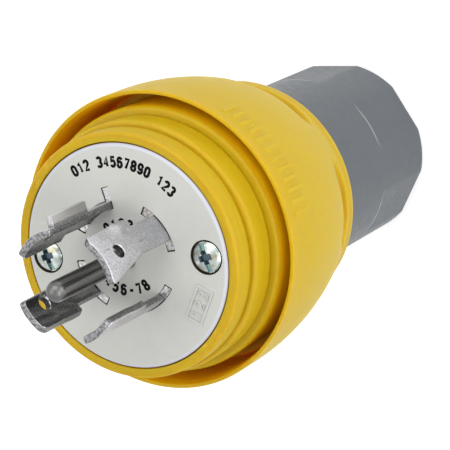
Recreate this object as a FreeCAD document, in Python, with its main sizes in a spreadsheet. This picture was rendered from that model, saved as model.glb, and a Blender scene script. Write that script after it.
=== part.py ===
import FreeCAD
import Part
import Sketcher
import os

# Watertight locking power plug, five wires, standing on the flat end of its cord nut.
# Millimetres and degrees. Z is the plug's axis, with the blades up, and Z = 0 is the nut's end.
# Y points to the top of the face. Angles go clockwise from Y, seen from in front of the face.

SIZES = {
    # Levels along the axis, from the cord nut to the face
    "shoulder_level": 58.0,
    "barrel_length": 47.4,
    "gasket_thick": 0.6,
    "face_thick": 4.5,
    # Face plate and the rings round it
    "face_radius": 26.0,
    "face_edge": 0.6,
    "gasket_width": 2.2,
    "shell_wall": 3.2,
    "lip_gap": 0.2,
    "lip_wall": 2.2,
    "lip_sink": 0.2,
    "lip_edge": 0.6,
    "lip_length": 6.0,
    "band_wall": 2.4,
    "band_length": 6.6,
    "band_edge": 0.8,
    "groove_depth": 0.5,
    "groove_width": 0.7,
    "ring_wall": 4.2,
    "ring_edge": 1.0,
    "sleeve_gap": 0.05,
    # Safety shroud and grip
    "socket_gap": 2.6,
    "socket_depth": 17.0,
    "socket_taper": 0.7,
    "rim_wall": 1.25,
    "rim_drop": 13.6,
    "rim_straight": 7.0,
    "collar_gap": 0.5,
    "collar_wall": 5.1,
    "skirt_length": 4.7,
    "scoop_radius": 20.0,
    "scoop_depth": 2.1,
    "scoop_rise": 2.2,
    "scoop_angle": 31.0,
    # Core
    "spigot_length": 1.4,
    "shoulder_rise": 4.0,
    "shoulder_wall": 3.5,
    "neck_radius": 19.4,
    "neck_bore": 12.5,
    "mouth_wall": 2.2,
    "mouth_depth": 14.0,
    "throat_taper": 2.0,
    "boss_radius": 4.2,
    # Cord nut and what it presses
    "thread_gap": 0.15,
    "nut_wall": 3.45,
    "nut_floor": 6.0,
    "nut_play": 1.0,
    "nut_edge": 1.2,
    "nut_turn": 2.0,
    "cord_bore": 11.0,
    "flat_depth": 0.9,
    "flat_length": 23.4,
    "slip_thick": 1.5,
    "slip_gap": 0.3,
    "grommet_flange": 4.5,
    "grommet_bore": 9.2,
    "grommet_gap": 0.35,
    "seat_gap": 0.3,
    "nose_over": 0.5,
    "nose_gap": 2.0,
    # Blades
    "blade_inner": 11.3,
    "blade_thick": 1.7,
    "blade_reach": 25.0,
    "blade_span": 54.0,
    "blade_bevel": 0.45,
    "slot_gap": 0.1,
    "slot_play": 1.0,
    "flange_sink": 0.4,
    "stalk_left": 3.05,
    "stalk_right": 3.3,
    "hook_left": 4.95,
    "hook_rise": 9.7,
    "hook_edge": 0.7,
    "tip_edge": 1.0,
    "flare_rise": 11.4,
    "flare_wide": 6.1,
    "hole_radius": 1.6,
    "hole_rise": 18.8,
    "hole_shift": 0.7,
    "tab_inset": 3.5,
    "tab_thick": 1.5,
    "tab_wide": 2.4,
    "tab_low": 9.2,
    "tab_high": 23.0,
    "tab_root_wide": 3.1,
    "x_angle": 56.6,
    "y_angle": 151.0,
    "z_angle": 238.4,
    "neutral_angle": 325.4,
    "ground_angle": 11.0,
    # Ground pin and strap
    "pin_radius": 2.4,
    "pin_root": 2.6,
    "pin_reach": 30.0,
    "pin_gap": 0.1,
    "pin_head_radius": 3.8,
    "pin_head_thick": 3.0,
    "strap_thick": 1.6,
    "strap_half": 2.2,
    # Contact carrier and terminals
    "carrier_length": 24.0,
    "carrier_gap": 0.2,
    "pocket_gap": 0.7,
    "pocket_height": 16.0,
    "pocket_back": 0.9,
    "tail_half": 3.2,
    "tail_end": 2.0,
    "terminal_rise": 8.0,
    "plate_thick": 1.4,
    "plate_half": 3.6,
    "plate_gap": 0.02,
    "terminal_screw_radius": 1.55,
    "terminal_head_radius": 3.2,
    "terminal_head": 2.2,
    "terminal_edge": 0.66,
    "terminal_through": 0.5,
    "terminal_gap": 0.1,
    "terminal_slot": 0.9,
    # Face screws and their inserts
    "screw_edge": 5.2,
    "screw_turn": 346.0,
    "screw_radius": 2.05,
    "screw_gap": 0.35,
    "screw_head_radius": 3.75,
    "screw_head": 1.7,
    "screw_recess": 1.3,
    "screw_dome": 0.7,
    "screw_crown": 0.21,
    "screw_crown_in": 2.1,
    "screw_slot": 1.1,
    "screw_slot_depth": 0.8,
    "screw_cross": 2.2,
    "screw_cross_depth": 1.2,
    "recess_gap": 0.3,
    "insert_radius": 3.0,
    "insert_length": 10.0,
    "insert_gap": 0.05,
    "screw_short": 2.0,
    # How far a cut runs past the surface that it opens
    "overcut": 2.0,
}

# Levels and radii that several pieces share, as sums of the sizes
SHELL_FRONT = "shoulder_level + barrel_length"
PLATE_BACK = SHELL_FRONT + " + gasket_thick"
FACE = PLATE_BACK + " + face_thick"
SHELL_BORE = "face_radius - gasket_width"
SHELL_OUT = SHELL_BORE + " + shell_wall"
RING_OUT = SHELL_OUT + " + ring_wall"
SOCKET_OUT = RING_OUT + " + socket_gap"
RIM_OUT = SOCKET_OUT + " + rim_wall"
RIM_TOP = FACE + " - rim_drop"
SOCKET_FLOOR = RIM_TOP + " - socket_depth"
COLLAR_BACK = "shoulder_level - skirt_length"
NUT_BORE = "neck_radius + thread_gap"
NUT_OUT = NUT_BORE + " + nut_wall"
NUT_TOP = "shoulder_level - nut_play"
COLLAR_IN = NUT_OUT + " + collar_gap"
COLLAR_OUT = COLLAR_IN + " + collar_wall"
GROMMET_BACK = "nut_floor + slip_thick"
NECK_END = GROMMET_BACK + " + grommet_flange + seat_gap"
MOUTH_RADIUS = "neck_radius - mouth_wall"
MOUTH_END = NECK_END + " + mouth_depth"
GROMMET_NOSE = "neck_bore + nose_over"
CHAMBER_FLOOR = "shoulder_level + shoulder_wall"
CARRIER_BACK = PLATE_BACK + " - carrier_length"
POCKET_TOP = CARRIER_BACK + " + pocket_height"
TAIL_END = CARRIER_BACK + " + tail_end"
BLADE_OUT = "blade_inner + blade_thick"
SLOT_SPAN = "blade_span + slot_play"
TAB_TURN = "blade_span / 2 - tab_inset"
TAB_REACH = BLADE_OUT + " + tab_wide"
TAB_ROOT_REACH = BLADE_OUT + " + tab_root_wide"
BLADE_TIP = FACE + " + blade_reach"
TERMINAL_LEVEL = CARRIER_BACK + " + terminal_rise"
CLAMP_OUT = BLADE_OUT + " + plate_gap + plate_thick"
SCREW_PLACE = "face_radius - screw_edge"
SCREW_SEAT = FACE + " - screw_recess"
SIDES = (("left", "- face_radius + screw_edge"), ("right", SCREW_PLACE))

POLES = ("x", "y", "z", "neutral", "ground")
BLADES = ("x", "y", "z", "neutral")
FLATS = 6
SCOOPS = 6

# How far an arc stands out when it is first drawn, as a share of its height. The tangent then sets it
FIRST_SWELL = 0.03

doc = FreeCAD.newDocument("LockingPlug")
sheet = doc.addObject("Spreadsheet::Sheet", "Sizes")
for row, (word, size) in enumerate(SIZES.items(), start=1):
    sheet.set("A%d" % row, word)
    sheet.set("B%d" % row, str(size))
    sheet.setAlias("B%d" % row, word)
doc.recompute()

parts = []


def formula(text):
    """A sum of sizes as an expression that reads the sheet."""
    return " ".join("Sizes." + word if word in SIZES else word for word in text.split())


def number(text):
    """The same sum as a number, for the first drawing of a sketch."""
    total = 0.0
    term = 0.0
    sign = "+"
    for word in text.split():
        if word in ("+", "-", "*", "/"):
            sign = word
            continue
        amount = SIZES[word] if word in SIZES else float(word)
        if sign == "*":
            term = term * amount
        elif sign == "/":
            term = term / amount
        else:
            total = total + term
            term = -amount if sign == "-" else amount
    return total + term


def minus(text):
    """The negative of a sum that starts with a plain word."""
    flipped = text.replace(" - ", " & ").replace(" + ", " - ").replace(" & ", " + ")
    return "- " + flipped


def new_body(label):
    """A body whose label names the piece's file."""
    body = doc.addObject("PartDesign::Body", "Body_" + label)
    body.Label = label
    parts.append(body)
    return body


def origin_feature(body, role):
    """One of the body's own planes or axes."""
    return [item for item in body.Origin.OriginFeatures if item.Role == role][0]


def new_sketch(body, name, role, turn=None, level=None):
    """A sketch on one of the body's own planes, turned about the plug's axis or raised from the plane."""
    sketch = body.newObject("Sketcher::SketchObject", body.Label + "_" + name)
    sketch.AttachmentSupport = [(origin_feature(body, role), "")]
    sketch.MapMode = "FlatFace"
    if turn is not None:
        axis = FreeCAD.Vector(0, 0, 1) if role == "XY_Plane" else FreeCAD.Vector(0, 1, 0)
        angle = -number(turn)
        sketch.AttachmentOffset = FreeCAD.Placement(FreeCAD.Vector(0, 0, 0), FreeCAD.Rotation(axis, angle))
        sketch.setExpression("AttachmentOffset.Rotation.Angle", "-(" + formula(turn) + ")")
    if level is not None:
        sketch.setExpression("AttachmentOffset.Base.z", formula(level))
    return sketch


def hold(sketch, geometry, point, across, up):
    """Place one point of a sketch by its two distances from the origin."""
    for kind, text in (("DistanceX", across), ("DistanceY", up)):
        index = sketch.addConstraint(Sketcher.Constraint(kind, -1, 1, geometry, point, number(text)))
        sketch.setExpression("Constraints[%d]" % index, formula(text))


def draw_outline(sketch, corners, arc_from=None):
    """A closed outline through the corners. The side after corner arc_from is an arc that runs
    smoothly into the side that follows it."""
    first = sketch.GeometryCount
    count = len(corners)
    places = [FreeCAD.Vector(number(across), number(up), 0) for across, up in corners]
    for index in range(count):
        start = places[index]
        end = places[(index + 1) % count]
        if index == arc_from:
            swell = FreeCAD.Vector(abs(end.y - start.y) * FIRST_SWELL, 0, 0)
            sketch.addGeometry(Part.Arc(start, (start + end) * 0.5 + swell, end))
        else:
            sketch.addGeometry(Part.LineSegment(start, end))
    for index in range(count):
        kind = "Tangent" if index == arc_from else "Coincident"
        following = first + (index + 1) % count
        sketch.addConstraint(Sketcher.Constraint(kind, first + index, 2, following, 1))
    for index, (across, up) in enumerate(corners):
        hold(sketch, first + index, 1, across, up)


def draw_circle(sketch, radius, across=None, up=None):
    """A circle about the origin, or about a point that two sums give."""
    middle = FreeCAD.Vector(0, 0, 0)
    if across is not None:
        middle = FreeCAD.Vector(number(across), number(up), 0)
    circle = sketch.addGeometry(Part.Circle(middle, FreeCAD.Vector(0, 0, 1), number(radius)))
    index = sketch.addConstraint(Sketcher.Constraint("Radius", circle, number(radius)))
    sketch.setExpression("Constraints[%d]" % index, formula(radius))
    if across is None:
        sketch.addConstraint(Sketcher.Constraint("Coincident", circle, 3, -1, 1))
    else:
        hold(sketch, circle, 3, across, up)


def pad(body, sketch, name, length):
    """Raise a sketch by a length."""
    feature = body.newObject("PartDesign::Pad", body.Label + "_" + name)
    feature.Profile = sketch
    feature.setExpression("Length", formula(length))
    return feature


def cut(body, sketch, name, length=None, upward=False):
    """Cut a sketch into the body, all the way through where no length is given."""
    feature = body.newObject("PartDesign::Pocket", body.Label + "_" + name)
    feature.Profile = sketch
    feature.Reversed = upward
    if length is None:
        feature.Type = "ThroughAll"
    else:
        feature.setExpression("Length", formula(length))
    return feature


def revolve(body, sketch, name, kind="PartDesign::Revolution", span=None):
    """Turn a sketch about its upright axis, all round or by a span centred on it."""
    feature = body.newObject(kind, body.Label + "_" + name)
    feature.Profile = sketch
    feature.ReferenceAxis = (sketch, ["V_Axis"])
    feature.Angle = 360 if span is None else number(span)
    if span is not None:
        feature.Midplane = True
        feature.setExpression("Angle", formula(span))
    return feature


def repeat_round(body, feature, count):
    """Repeat a feature all round the plug's axis."""
    pattern = body.newObject("PartDesign::PolarPattern", body.Label + "_round")
    pattern.Originals = [feature]
    pattern.Axis = (origin_feature(body, "Z_Axis"), [""])
    pattern.Angle = 360
    pattern.Occurrences = count
    body.Tip = pattern


def turned_body(label, corners, arc_from=None):
    """A body that one outline makes by a full turn about the plug's axis."""
    body = new_body(label)
    sketch = new_sketch(body, "profile", "XZ_Plane")
    draw_outline(sketch, corners, arc_from)
    revolve(body, sketch, "turned")
    return body


def turn_body(body, angle):
    """Turn a finished body clockwise about the plug's axis."""
    body.setExpression("Placement.Rotation.Angle", "-(" + formula(angle) + ")")


def make_cord_nut():
    """Cord nut: one moulding with a floor, a bore for the cord, an inner thread and six flats."""
    body = turned_body("cord_nut", [
        ("cord_bore", "0"),
        (NUT_OUT + " - nut_edge", "0"),
        (NUT_OUT, "nut_edge"),
        (NUT_OUT, NUT_TOP),
        (NUT_BORE, NUT_TOP),
        (NUT_BORE, "nut_floor"),
        ("cord_bore", "nut_floor"),
    ])
    flat = new_sketch(body, "flat", "XY_Plane")
    draw_outline(flat, [
        ("- neck_radius", NUT_OUT + " - flat_depth"),
        ("neck_radius", NUT_OUT + " - flat_depth"),
        ("neck_radius", NUT_OUT + " + overcut"),
        ("- neck_radius", NUT_OUT + " + overcut"),
    ])
    flat_cut = cut(body, flat, "flat_cut", "flat_length", upward=True)
    repeat_round(body, flat_cut, FLATS)
    turn_body(body, "nut_turn")


def make_slip_ring():
    """Slip ring: flat washer on the nut's floor, so that the nut turns without dragging the grommet."""
    body = new_body("slip_ring")
    sketch = new_sketch(body, "rings", "XY_Plane", level="nut_floor")
    draw_circle(sketch, "neck_radius - slip_gap")
    draw_circle(sketch, "cord_bore + slip_gap")
    pad(body, sketch, "washer", "slip_thick")


def make_cord_grommet():
    """Grommet: rubber cone that the nut presses into the mouth of the neck, round the cord."""
    turned_body("cord_grommet", [
        ("grommet_bore", GROMMET_BACK),
        ("neck_radius - slip_gap", GROMMET_BACK),
        ("neck_radius - slip_gap", GROMMET_BACK + " + grommet_flange"),
        (MOUTH_RADIUS + " - grommet_gap", GROMMET_BACK + " + grommet_flange"),
        (GROMMET_NOSE, MOUTH_END + " - nose_gap"),
        ("grommet_bore", MOUTH_END + " - nose_gap"),
    ])


def make_housing_shell():
    """Core: barrel with the wiring chamber, threaded neck, and two bosses for the face screws."""
    body = turned_body("housing_shell", [
        (MOUTH_RADIUS, NECK_END),
        ("neck_radius", NECK_END),
        ("neck_radius", "shoulder_level"),
        (SHELL_OUT + " - shoulder_rise", "shoulder_level"),
        (SHELL_OUT, "shoulder_level + shoulder_rise"),
        (SHELL_OUT, SHELL_FRONT + " - spigot_length"),
        ("face_radius", SHELL_FRONT + " - spigot_length"),
        ("face_radius", SHELL_FRONT),
        (SHELL_BORE, SHELL_FRONT),
        (SHELL_BORE, CHAMBER_FLOOR),
        ("neck_bore", CHAMBER_FLOOR),
        ("neck_bore", MOUTH_END + " + throat_taper"),
        (GROMMET_NOSE + " + grommet_gap", MOUTH_END),
    ])
    boss_length = "barrel_length + gasket_thick - carrier_length - shoulder_wall"
    for side, place in SIDES:
        boss = new_sketch(body, "boss_" + side, "XY_Plane", level=CHAMBER_FLOOR)
        draw_circle(boss, "boss_radius", place, "0")
        pad(body, boss, "boss_pad_" + side, boss_length)
        hole = new_sketch(body, "hole_" + side, "XY_Plane", level=CARRIER_BACK)
        draw_circle(hole, "insert_radius", place, "0")
        cut(body, hole, "hole_cut_" + side, "insert_length + insert_gap")


def make_face_gasket():
    """Gasket: flat rubber ring between the face plate and the front edge of the core."""
    body = new_body("face_gasket")
    sketch = new_sketch(body, "rings", "XY_Plane", level=SHELL_FRONT)
    draw_circle(sketch, "face_radius")
    draw_circle(sketch, SHELL_BORE)
    pad(body, sketch, "ring", "gasket_thick")


def make_seal_sleeve():
    """Seal sleeve: front lip round the face, a raised band, and the thick ring down in the socket."""
    lip_back = FACE + " - lip_length"
    band_top = lip_back + " - groove_width"
    band_low = band_top + " - band_length"
    ring_top = band_low + " - groove_width"
    lip_out = "face_radius + lip_gap + lip_wall"
    band_out = SHELL_OUT + " + band_wall"
    turned_body("seal_sleeve", [
        (SHELL_OUT + " + sleeve_gap", SOCKET_FLOOR),
        (RING_OUT, SOCKET_FLOOR),
        (RING_OUT, ring_top + " - ring_edge"),
        (RING_OUT + " - ring_edge", ring_top),
        (band_out + " - groove_depth", ring_top),
        (band_out + " - groove_depth", band_low),
        (band_out, band_low + " + band_edge"),
        (band_out, band_top + " - band_edge"),
        (band_out + " - band_edge", band_top),
        (lip_out + " - groove_depth", band_top),
        (lip_out + " - groove_depth", lip_back),
        (lip_out, lip_back + " + groove_depth"),
        (lip_out, FACE + " - lip_sink - lip_edge"),
        (lip_out + " - lip_edge", FACE + " - lip_sink"),
        ("face_radius + lip_gap", FACE + " - lip_sink"),
        ("face_radius + lip_gap", SHELL_FRONT + " - spigot_length + sleeve_gap"),
        (SHELL_OUT + " + sleeve_gap", SHELL_FRONT + " - spigot_length + sleeve_gap"),
    ])


def make_shroud_boot():
    """Boot: shroud, grip and collar in one soft moulding, with six thumb recesses over the collar."""
    body = turned_body("shroud_boot", [
        (COLLAR_OUT, COLLAR_BACK),
        (RIM_OUT, RIM_TOP + " - rim_straight"),
        (RIM_OUT, RIM_TOP),
        (SOCKET_OUT, RIM_TOP),
        (SOCKET_OUT + " - socket_taper", SOCKET_FLOOR),
        (SHELL_OUT, SOCKET_FLOOR),
        (SHELL_OUT, "shoulder_level + shoulder_rise"),
        (SHELL_OUT + " - shoulder_rise", "shoulder_level"),
        (COLLAR_IN, "shoulder_level"),
        (COLLAR_IN, COLLAR_BACK),
    ], arc_from=0)
    doc.recompute()
    scoop_centre = COLLAR_OUT + " + scoop_radius - scoop_depth + scoop_rise"
    scoop = body.newObject("PartDesign::SubtractiveSphere", "shroud_boot_scoop")
    scoop.setExpression("Radius", formula("scoop_radius"))
    scoop.setExpression("Placement.Base.y", formula(scoop_centre))
    scoop.setExpression("Placement.Base.z", formula("shoulder_level + scoop_rise"))
    repeat_round(body, scoop, SCOOPS)
    turn_body(body, "scoop_angle")


def slot_grooves(body, low, high, deep):
    """Four curved slots for the blades, between two levels, and the neutral blade's radial slot."""
    for pole in BLADES:
        sketch = new_sketch(body, "slot_" + pole, "YZ_Plane", turn=pole + "_angle")
        draw_outline(sketch, [
            ("blade_inner - slot_gap", low),
            (BLADE_OUT + " + slot_gap", low),
            (BLADE_OUT + " + slot_gap", high),
            ("blade_inner - slot_gap", high),
        ])
        revolve(body, sketch, "groove_" + pole, "PartDesign::Groove", SLOT_SPAN)
    tab = new_sketch(body, "tab", "XY_Plane", turn="neutral_angle + " + TAB_TURN, level=high)
    draw_outline(tab, [
        ("- tab_thick / 2 - slot_gap", BLADE_OUT),
        ("tab_thick / 2 + slot_gap", BLADE_OUT),
        ("tab_thick / 2 + slot_gap", TAB_ROOT_REACH + " + slot_gap"),
        ("- tab_thick / 2 - slot_gap", TAB_ROOT_REACH + " + slot_gap"),
    ])
    cut(body, tab, "tab_cut", deep)


def make_face_plate():
    """Face plate: nylon disc with the slots, the pin hole and two recesses for the screw heads."""
    body = turned_body("face_plate", [
        ("pin_root + pin_gap", PLATE_BACK),
        ("face_radius", PLATE_BACK),
        ("face_radius", FACE + " - face_edge"),
        ("face_radius - face_edge", FACE),
        ("pin_root + pin_gap", FACE),
    ])
    slot_grooves(body, PLATE_BACK + " - overcut", FACE + " + overcut", "face_thick + overcut + overcut")
    for side, place in SIDES:
        hole = new_sketch(body, "hole_" + side, "XY_Plane", level=FACE)
        draw_circle(hole, "screw_radius + screw_gap", place, "0")
        cut(body, hole, "hole_cut_" + side)
        recess = new_sketch(body, "recess_" + side, "XY_Plane", level=FACE)
        draw_circle(recess, "screw_head_radius + recess_gap", place, "0")
        cut(body, recess, "recess_cut_" + side, "screw_recess")


def make_contact_carrier():
    """Carrier: nylon block behind the face, with five open pockets for the terminals."""
    body = turned_body("contact_carrier", [
        ("pin_root + pin_gap", CARRIER_BACK),
        (SHELL_BORE + " - carrier_gap", CARRIER_BACK),
        (SHELL_BORE + " - carrier_gap", PLATE_BACK),
        ("pin_root + pin_gap", PLATE_BACK),
    ])
    slot_grooves(body, POCKET_TOP, PLATE_BACK + " + overcut", "carrier_length - pocket_height + overcut")
    for pole in POLES:
        pocket = new_sketch(body, "pocket_" + pole, "XY_Plane", turn=pole + "_angle", level=CARRIER_BACK)
        draw_outline(pocket, [
            ("- plate_half - pocket_gap", "blade_inner - pocket_back"),
            ("plate_half + pocket_gap", "blade_inner - pocket_back"),
            ("plate_half + pocket_gap", SHELL_BORE + " + overcut"),
            ("- plate_half - pocket_gap", SHELL_BORE + " + overcut"),
        ])
        cut(body, pocket, "pocket_cut_" + pole, "pocket_height", upward=True)
    strap = new_sketch(body, "strap", "XY_Plane", turn="ground_angle", level=PLATE_BACK)
    draw_outline(strap, [
        ("- strap_half - slot_gap", "0"),
        ("strap_half + slot_gap", "0"),
        ("strap_half + slot_gap", BLADE_OUT + " + slot_gap"),
        ("- strap_half - slot_gap", BLADE_OUT + " + slot_gap"),
    ])
    cut(body, strap, "strap_cut", "strap_thick")
    drop = new_sketch(body, "drop", "XY_Plane", turn="ground_angle", level=PLATE_BACK)
    draw_outline(drop, [
        ("- strap_half - slot_gap", "blade_inner - slot_gap"),
        ("strap_half + slot_gap", "blade_inner - slot_gap"),
        ("strap_half + slot_gap", BLADE_OUT + " + slot_gap"),
        ("- strap_half - slot_gap", BLADE_OUT + " + slot_gap"),
    ])
    cut(body, drop, "drop_cut", "carrier_length - pocket_height")
    head = new_sketch(body, "head", "XY_Plane", level=PLATE_BACK)
    draw_circle(head, "pin_head_radius + pin_gap")
    cut(body, head, "head_cut", "strap_thick + pin_head_thick")
    for side, place in SIDES:
        hole = new_sketch(body, "hole_" + side, "XY_Plane", level=PLATE_BACK)
        draw_circle(hole, "screw_radius + screw_gap", place, "0")
        cut(body, hole, "hole_cut_" + side)


def make_blade(pole):
    """Blade: one formed strip, with its tail for the terminal, a root as wide as the slot, a narrow
    stalk, a hook on the left and a tip that is wider on the right for the x pole."""
    body = new_body("blade_" + pole)
    profile = new_sketch(body, "profile", "YZ_Plane")
    draw_outline(profile, [
        ("blade_inner", TAIL_END),
        (BLADE_OUT, TAIL_END),
        (BLADE_OUT, BLADE_TIP + " - blade_bevel"),
        (BLADE_OUT + " - blade_bevel", BLADE_TIP),
        ("blade_inner + blade_bevel", BLADE_TIP),
        ("blade_inner", BLADE_TIP + " - blade_bevel"),
    ])
    revolve(body, profile, "strip", span="blade_span")

    outside = BLADE_OUT + " + overcut"
    beyond = outside + " + overcut"
    blank = new_sketch(body, "outline", "XZ_Plane")
    draw_outline(blank, [
        (minus(beyond), TAIL_END + " - overcut - overcut"),
        (beyond, TAIL_END + " - overcut - overcut"),
        (beyond, BLADE_TIP + " + overcut + overcut"),
        (minus(beyond), BLADE_TIP + " + overcut + overcut"),
    ])
    right_top = {"neutral": outside, "x": "flare_wide"}.get(pole, "stalk_right")
    right_edge = [
        (outside, FACE + " - flange_sink"),
        ("stalk_right", FACE + " - flange_sink"),
        ("stalk_right", FACE + " + flare_rise"),
        (right_top, BLADE_TIP),
    ]
    if pole == "neutral":
        right_edge = []
    draw_outline(blank, [
        ("- tail_half", TAIL_END + " - overcut"),
        ("tail_half", TAIL_END + " - overcut"),
        ("tail_half", POCKET_TOP + " + slot_gap"),
        (outside, POCKET_TOP + " + slot_gap"),
    ] + right_edge + [
        (right_top, BLADE_TIP + " + overcut"),
        ("- hook_left + tip_edge", BLADE_TIP + " + overcut"),
        ("- hook_left + tip_edge", BLADE_TIP),
        ("- hook_left", BLADE_TIP + " - tip_edge"),
        ("- hook_left", FACE + " + hook_rise + hook_edge"),
        ("- hook_left + hook_edge", FACE + " + hook_rise"),
        ("- stalk_left", FACE + " + hook_rise"),
        ("- stalk_left", FACE + " - flange_sink"),
        (minus(outside), FACE + " - flange_sink"),
        (minus(outside), POCKET_TOP + " + slot_gap"),
        ("- tail_half", POCKET_TOP + " + slot_gap"),
    ])
    cut(body, blank, "outline_cut")
    holes = new_sketch(body, "holes", "XZ_Plane")
    draw_circle(holes, "hole_radius", "hole_shift", FACE + " + hole_rise")
    draw_circle(holes, "terminal_screw_radius + terminal_gap", "0", TERMINAL_LEVEL)
    cut(body, holes, "holes_cut")
    if pole == "neutral":
        make_tab(body, "tab", FACE + " + tab_low", "tab_high - tab_low", TAB_REACH)
        make_tab(body, "tab_root", POCKET_TOP + " + slot_gap", "carrier_length - pocket_height + face_thick"
                 " - slot_gap - flange_sink", TAB_ROOT_REACH)
    turn_body(body, pole + "_angle")


def make_tab(body, name, low, height, reach):
    """Radial flange on the right edge of the neutral blade."""
    tab = new_sketch(body, name, "XY_Plane", turn=TAB_TURN, level=low)
    draw_outline(tab, [
        ("- tab_thick / 2", "blade_inner + blade_thick / 2"),
        ("tab_thick / 2", "blade_inner + blade_thick / 2"),
        ("tab_thick / 2", reach),
        ("- tab_thick / 2", reach),
    ])
    pad(body, tab, name + "_pad", height)


def make_ground_pin():
    """Ground pin: turned rod with a domed end, a thicker root in the face and a head under the strap."""
    head_low = PLATE_BACK + " - strap_thick - pin_head_thick"
    body = turned_body("ground_pin", [
        ("0", head_low),
        ("pin_head_radius", head_low),
        ("pin_head_radius", PLATE_BACK + " - strap_thick"),
        ("pin_root", PLATE_BACK + " - strap_thick"),
        ("pin_root", FACE),
        ("pin_radius", FACE),
        ("pin_radius", FACE + " + pin_reach - pin_radius"),
        ("0", FACE + " + pin_reach - pin_radius"),
    ])
    dome = body.newObject("PartDesign::AdditiveSphere", "ground_pin_dome")
    dome.setExpression("Radius", formula("pin_radius"))
    dome.setExpression("Placement.Base.z", formula(FACE + " + pin_reach - pin_radius"))


def make_ground_strap():
    """Ground strap: strip with an eye for the pin, folded down at its end into a wider terminal tail."""
    body = new_body("ground_strap")
    ring = new_sketch(body, "ring", "XY_Plane", level=PLATE_BACK + " - strap_thick")
    draw_circle(ring, "pin_head_radius")
    pad(body, ring, "ring_pad", "strap_thick")
    flat = new_sketch(body, "flat", "XY_Plane", level=PLATE_BACK + " - strap_thick")
    draw_outline(flat, [
        ("- strap_half", "0"),
        ("strap_half", "0"),
        ("strap_half", BLADE_OUT),
        ("- strap_half", BLADE_OUT),
    ])
    pad(body, flat, "flat_pad", "strap_thick")
    for name, half, length in (
            ("drop", "strap_half", "carrier_length - tail_end"),
            ("tail", "tail_half", "pocket_height - tail_end - slot_gap")):
        run = new_sketch(body, name, "XY_Plane", level=TAIL_END)
        draw_outline(run, [
            ("- " + half, "blade_inner"),
            (half, "blade_inner"),
            (half, BLADE_OUT),
            ("- " + half, BLADE_OUT),
        ])
        pad(body, run, name + "_pad", length)
    eye = new_sketch(body, "eye", "XY_Plane", level=PLATE_BACK)
    draw_circle(eye, "pin_root + pin_gap")
    cut(body, eye, "eye_cut", "strap_thick")
    hole = new_sketch(body, "hole", "XZ_Plane")
    draw_circle(hole, "terminal_screw_radius + terminal_gap", "0", TERMINAL_LEVEL)
    cut(body, hole, "hole_cut")
    turn_body(body, "ground_angle")


def make_terminal(pole):
    """Terminal: square clamp plate on the tail, and the slotted screw that presses it."""
    plate = new_body("clamp_plate_" + pole)
    square = new_sketch(plate, "square", "XZ_Plane", level=minus(CLAMP_OUT))
    draw_outline(square, [
        ("- plate_half", TERMINAL_LEVEL + " - plate_half"),
        ("plate_half", TERMINAL_LEVEL + " - plate_half"),
        ("plate_half", TERMINAL_LEVEL + " + plate_half"),
        ("- plate_half", TERMINAL_LEVEL + " + plate_half"),
    ])
    draw_circle(square, "terminal_screw_radius + terminal_gap", "0", TERMINAL_LEVEL)
    pad(plate, square, "plate_pad", "plate_thick")
    turn_body(plate, pole + "_angle")

    screw = new_body("terminal_screw_" + pole)
    profile = new_sketch(screw, "profile", "XY_Plane")
    draw_outline(profile, [
        ("0", "blade_inner - terminal_through"),
        ("terminal_screw_radius", "blade_inner - terminal_through"),
        ("terminal_screw_radius", CLAMP_OUT + " + plate_gap"),
        ("terminal_head_radius", CLAMP_OUT + " + plate_gap"),
        ("terminal_head_radius", CLAMP_OUT + " + terminal_head - terminal_edge"),
        ("terminal_head_radius - terminal_edge", CLAMP_OUT + " + terminal_head"),
        ("0", CLAMP_OUT + " + terminal_head"),
    ])
    revolve(screw, profile, "turned")
    slot = new_sketch(screw, "slot", "XY_Plane", level="- terminal_head_radius - overcut")
    draw_outline(slot, [
        ("- terminal_slot / 2", CLAMP_OUT + " + terminal_head / 2"),
        ("terminal_slot / 2", CLAMP_OUT + " + terminal_head / 2"),
        ("terminal_slot / 2", CLAMP_OUT + " + terminal_head + overcut"),
        ("- terminal_slot / 2", CLAMP_OUT + " + terminal_head + overcut"),
    ])
    cut(screw, slot, "slot_cut", upward=True)
    turn_body(screw, pole + "_angle")
    screw.setExpression("Placement.Base.z", formula(TERMINAL_LEVEL))


def make_face_screw(side, place):
    """Face screw: low domed head with a slot and a cross, and a shank down to the insert."""
    body = new_body("face_screw_" + side)
    profile = new_sketch(body, "profile", "XZ_Plane")
    draw_outline(profile, [
        ("0", CARRIER_BACK + " - insert_length + screw_short"),
        ("screw_radius", CARRIER_BACK + " - insert_length + screw_short"),
        ("screw_radius", SCREW_SEAT),
        ("screw_head_radius", SCREW_SEAT),
        ("screw_head_radius", SCREW_SEAT + " + screw_head - screw_dome"),
        ("screw_head_radius - screw_dome", SCREW_SEAT + " + screw_head - screw_crown"),
        ("screw_head_radius - screw_crown_in", SCREW_SEAT + " + screw_head"),
        ("0", SCREW_SEAT + " + screw_head"),
    ])
    revolve(body, profile, "turned")
    for name, half_wide, half_tall, depth in (
            ("slot", "screw_slot / 2", "screw_head_radius + overcut", "screw_slot_depth"),
            ("cross_up", "screw_slot / 2", "screw_cross", "screw_cross_depth"),
            ("cross_over", "screw_cross", "screw_slot / 2", "screw_cross_depth")):
        recess = new_sketch(body, name, "XY_Plane", turn="screw_turn", level=SCREW_SEAT + " + screw_head")
        draw_outline(recess, [
            (minus(half_wide), minus(half_tall)),
            (half_wide, minus(half_tall)),
            (half_wide, half_tall),
            (minus(half_wide), half_tall),
        ])
        cut(body, recess, name + "_cut", depth)
    body.setExpression("Placement.Base.x", formula(place))


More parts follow.
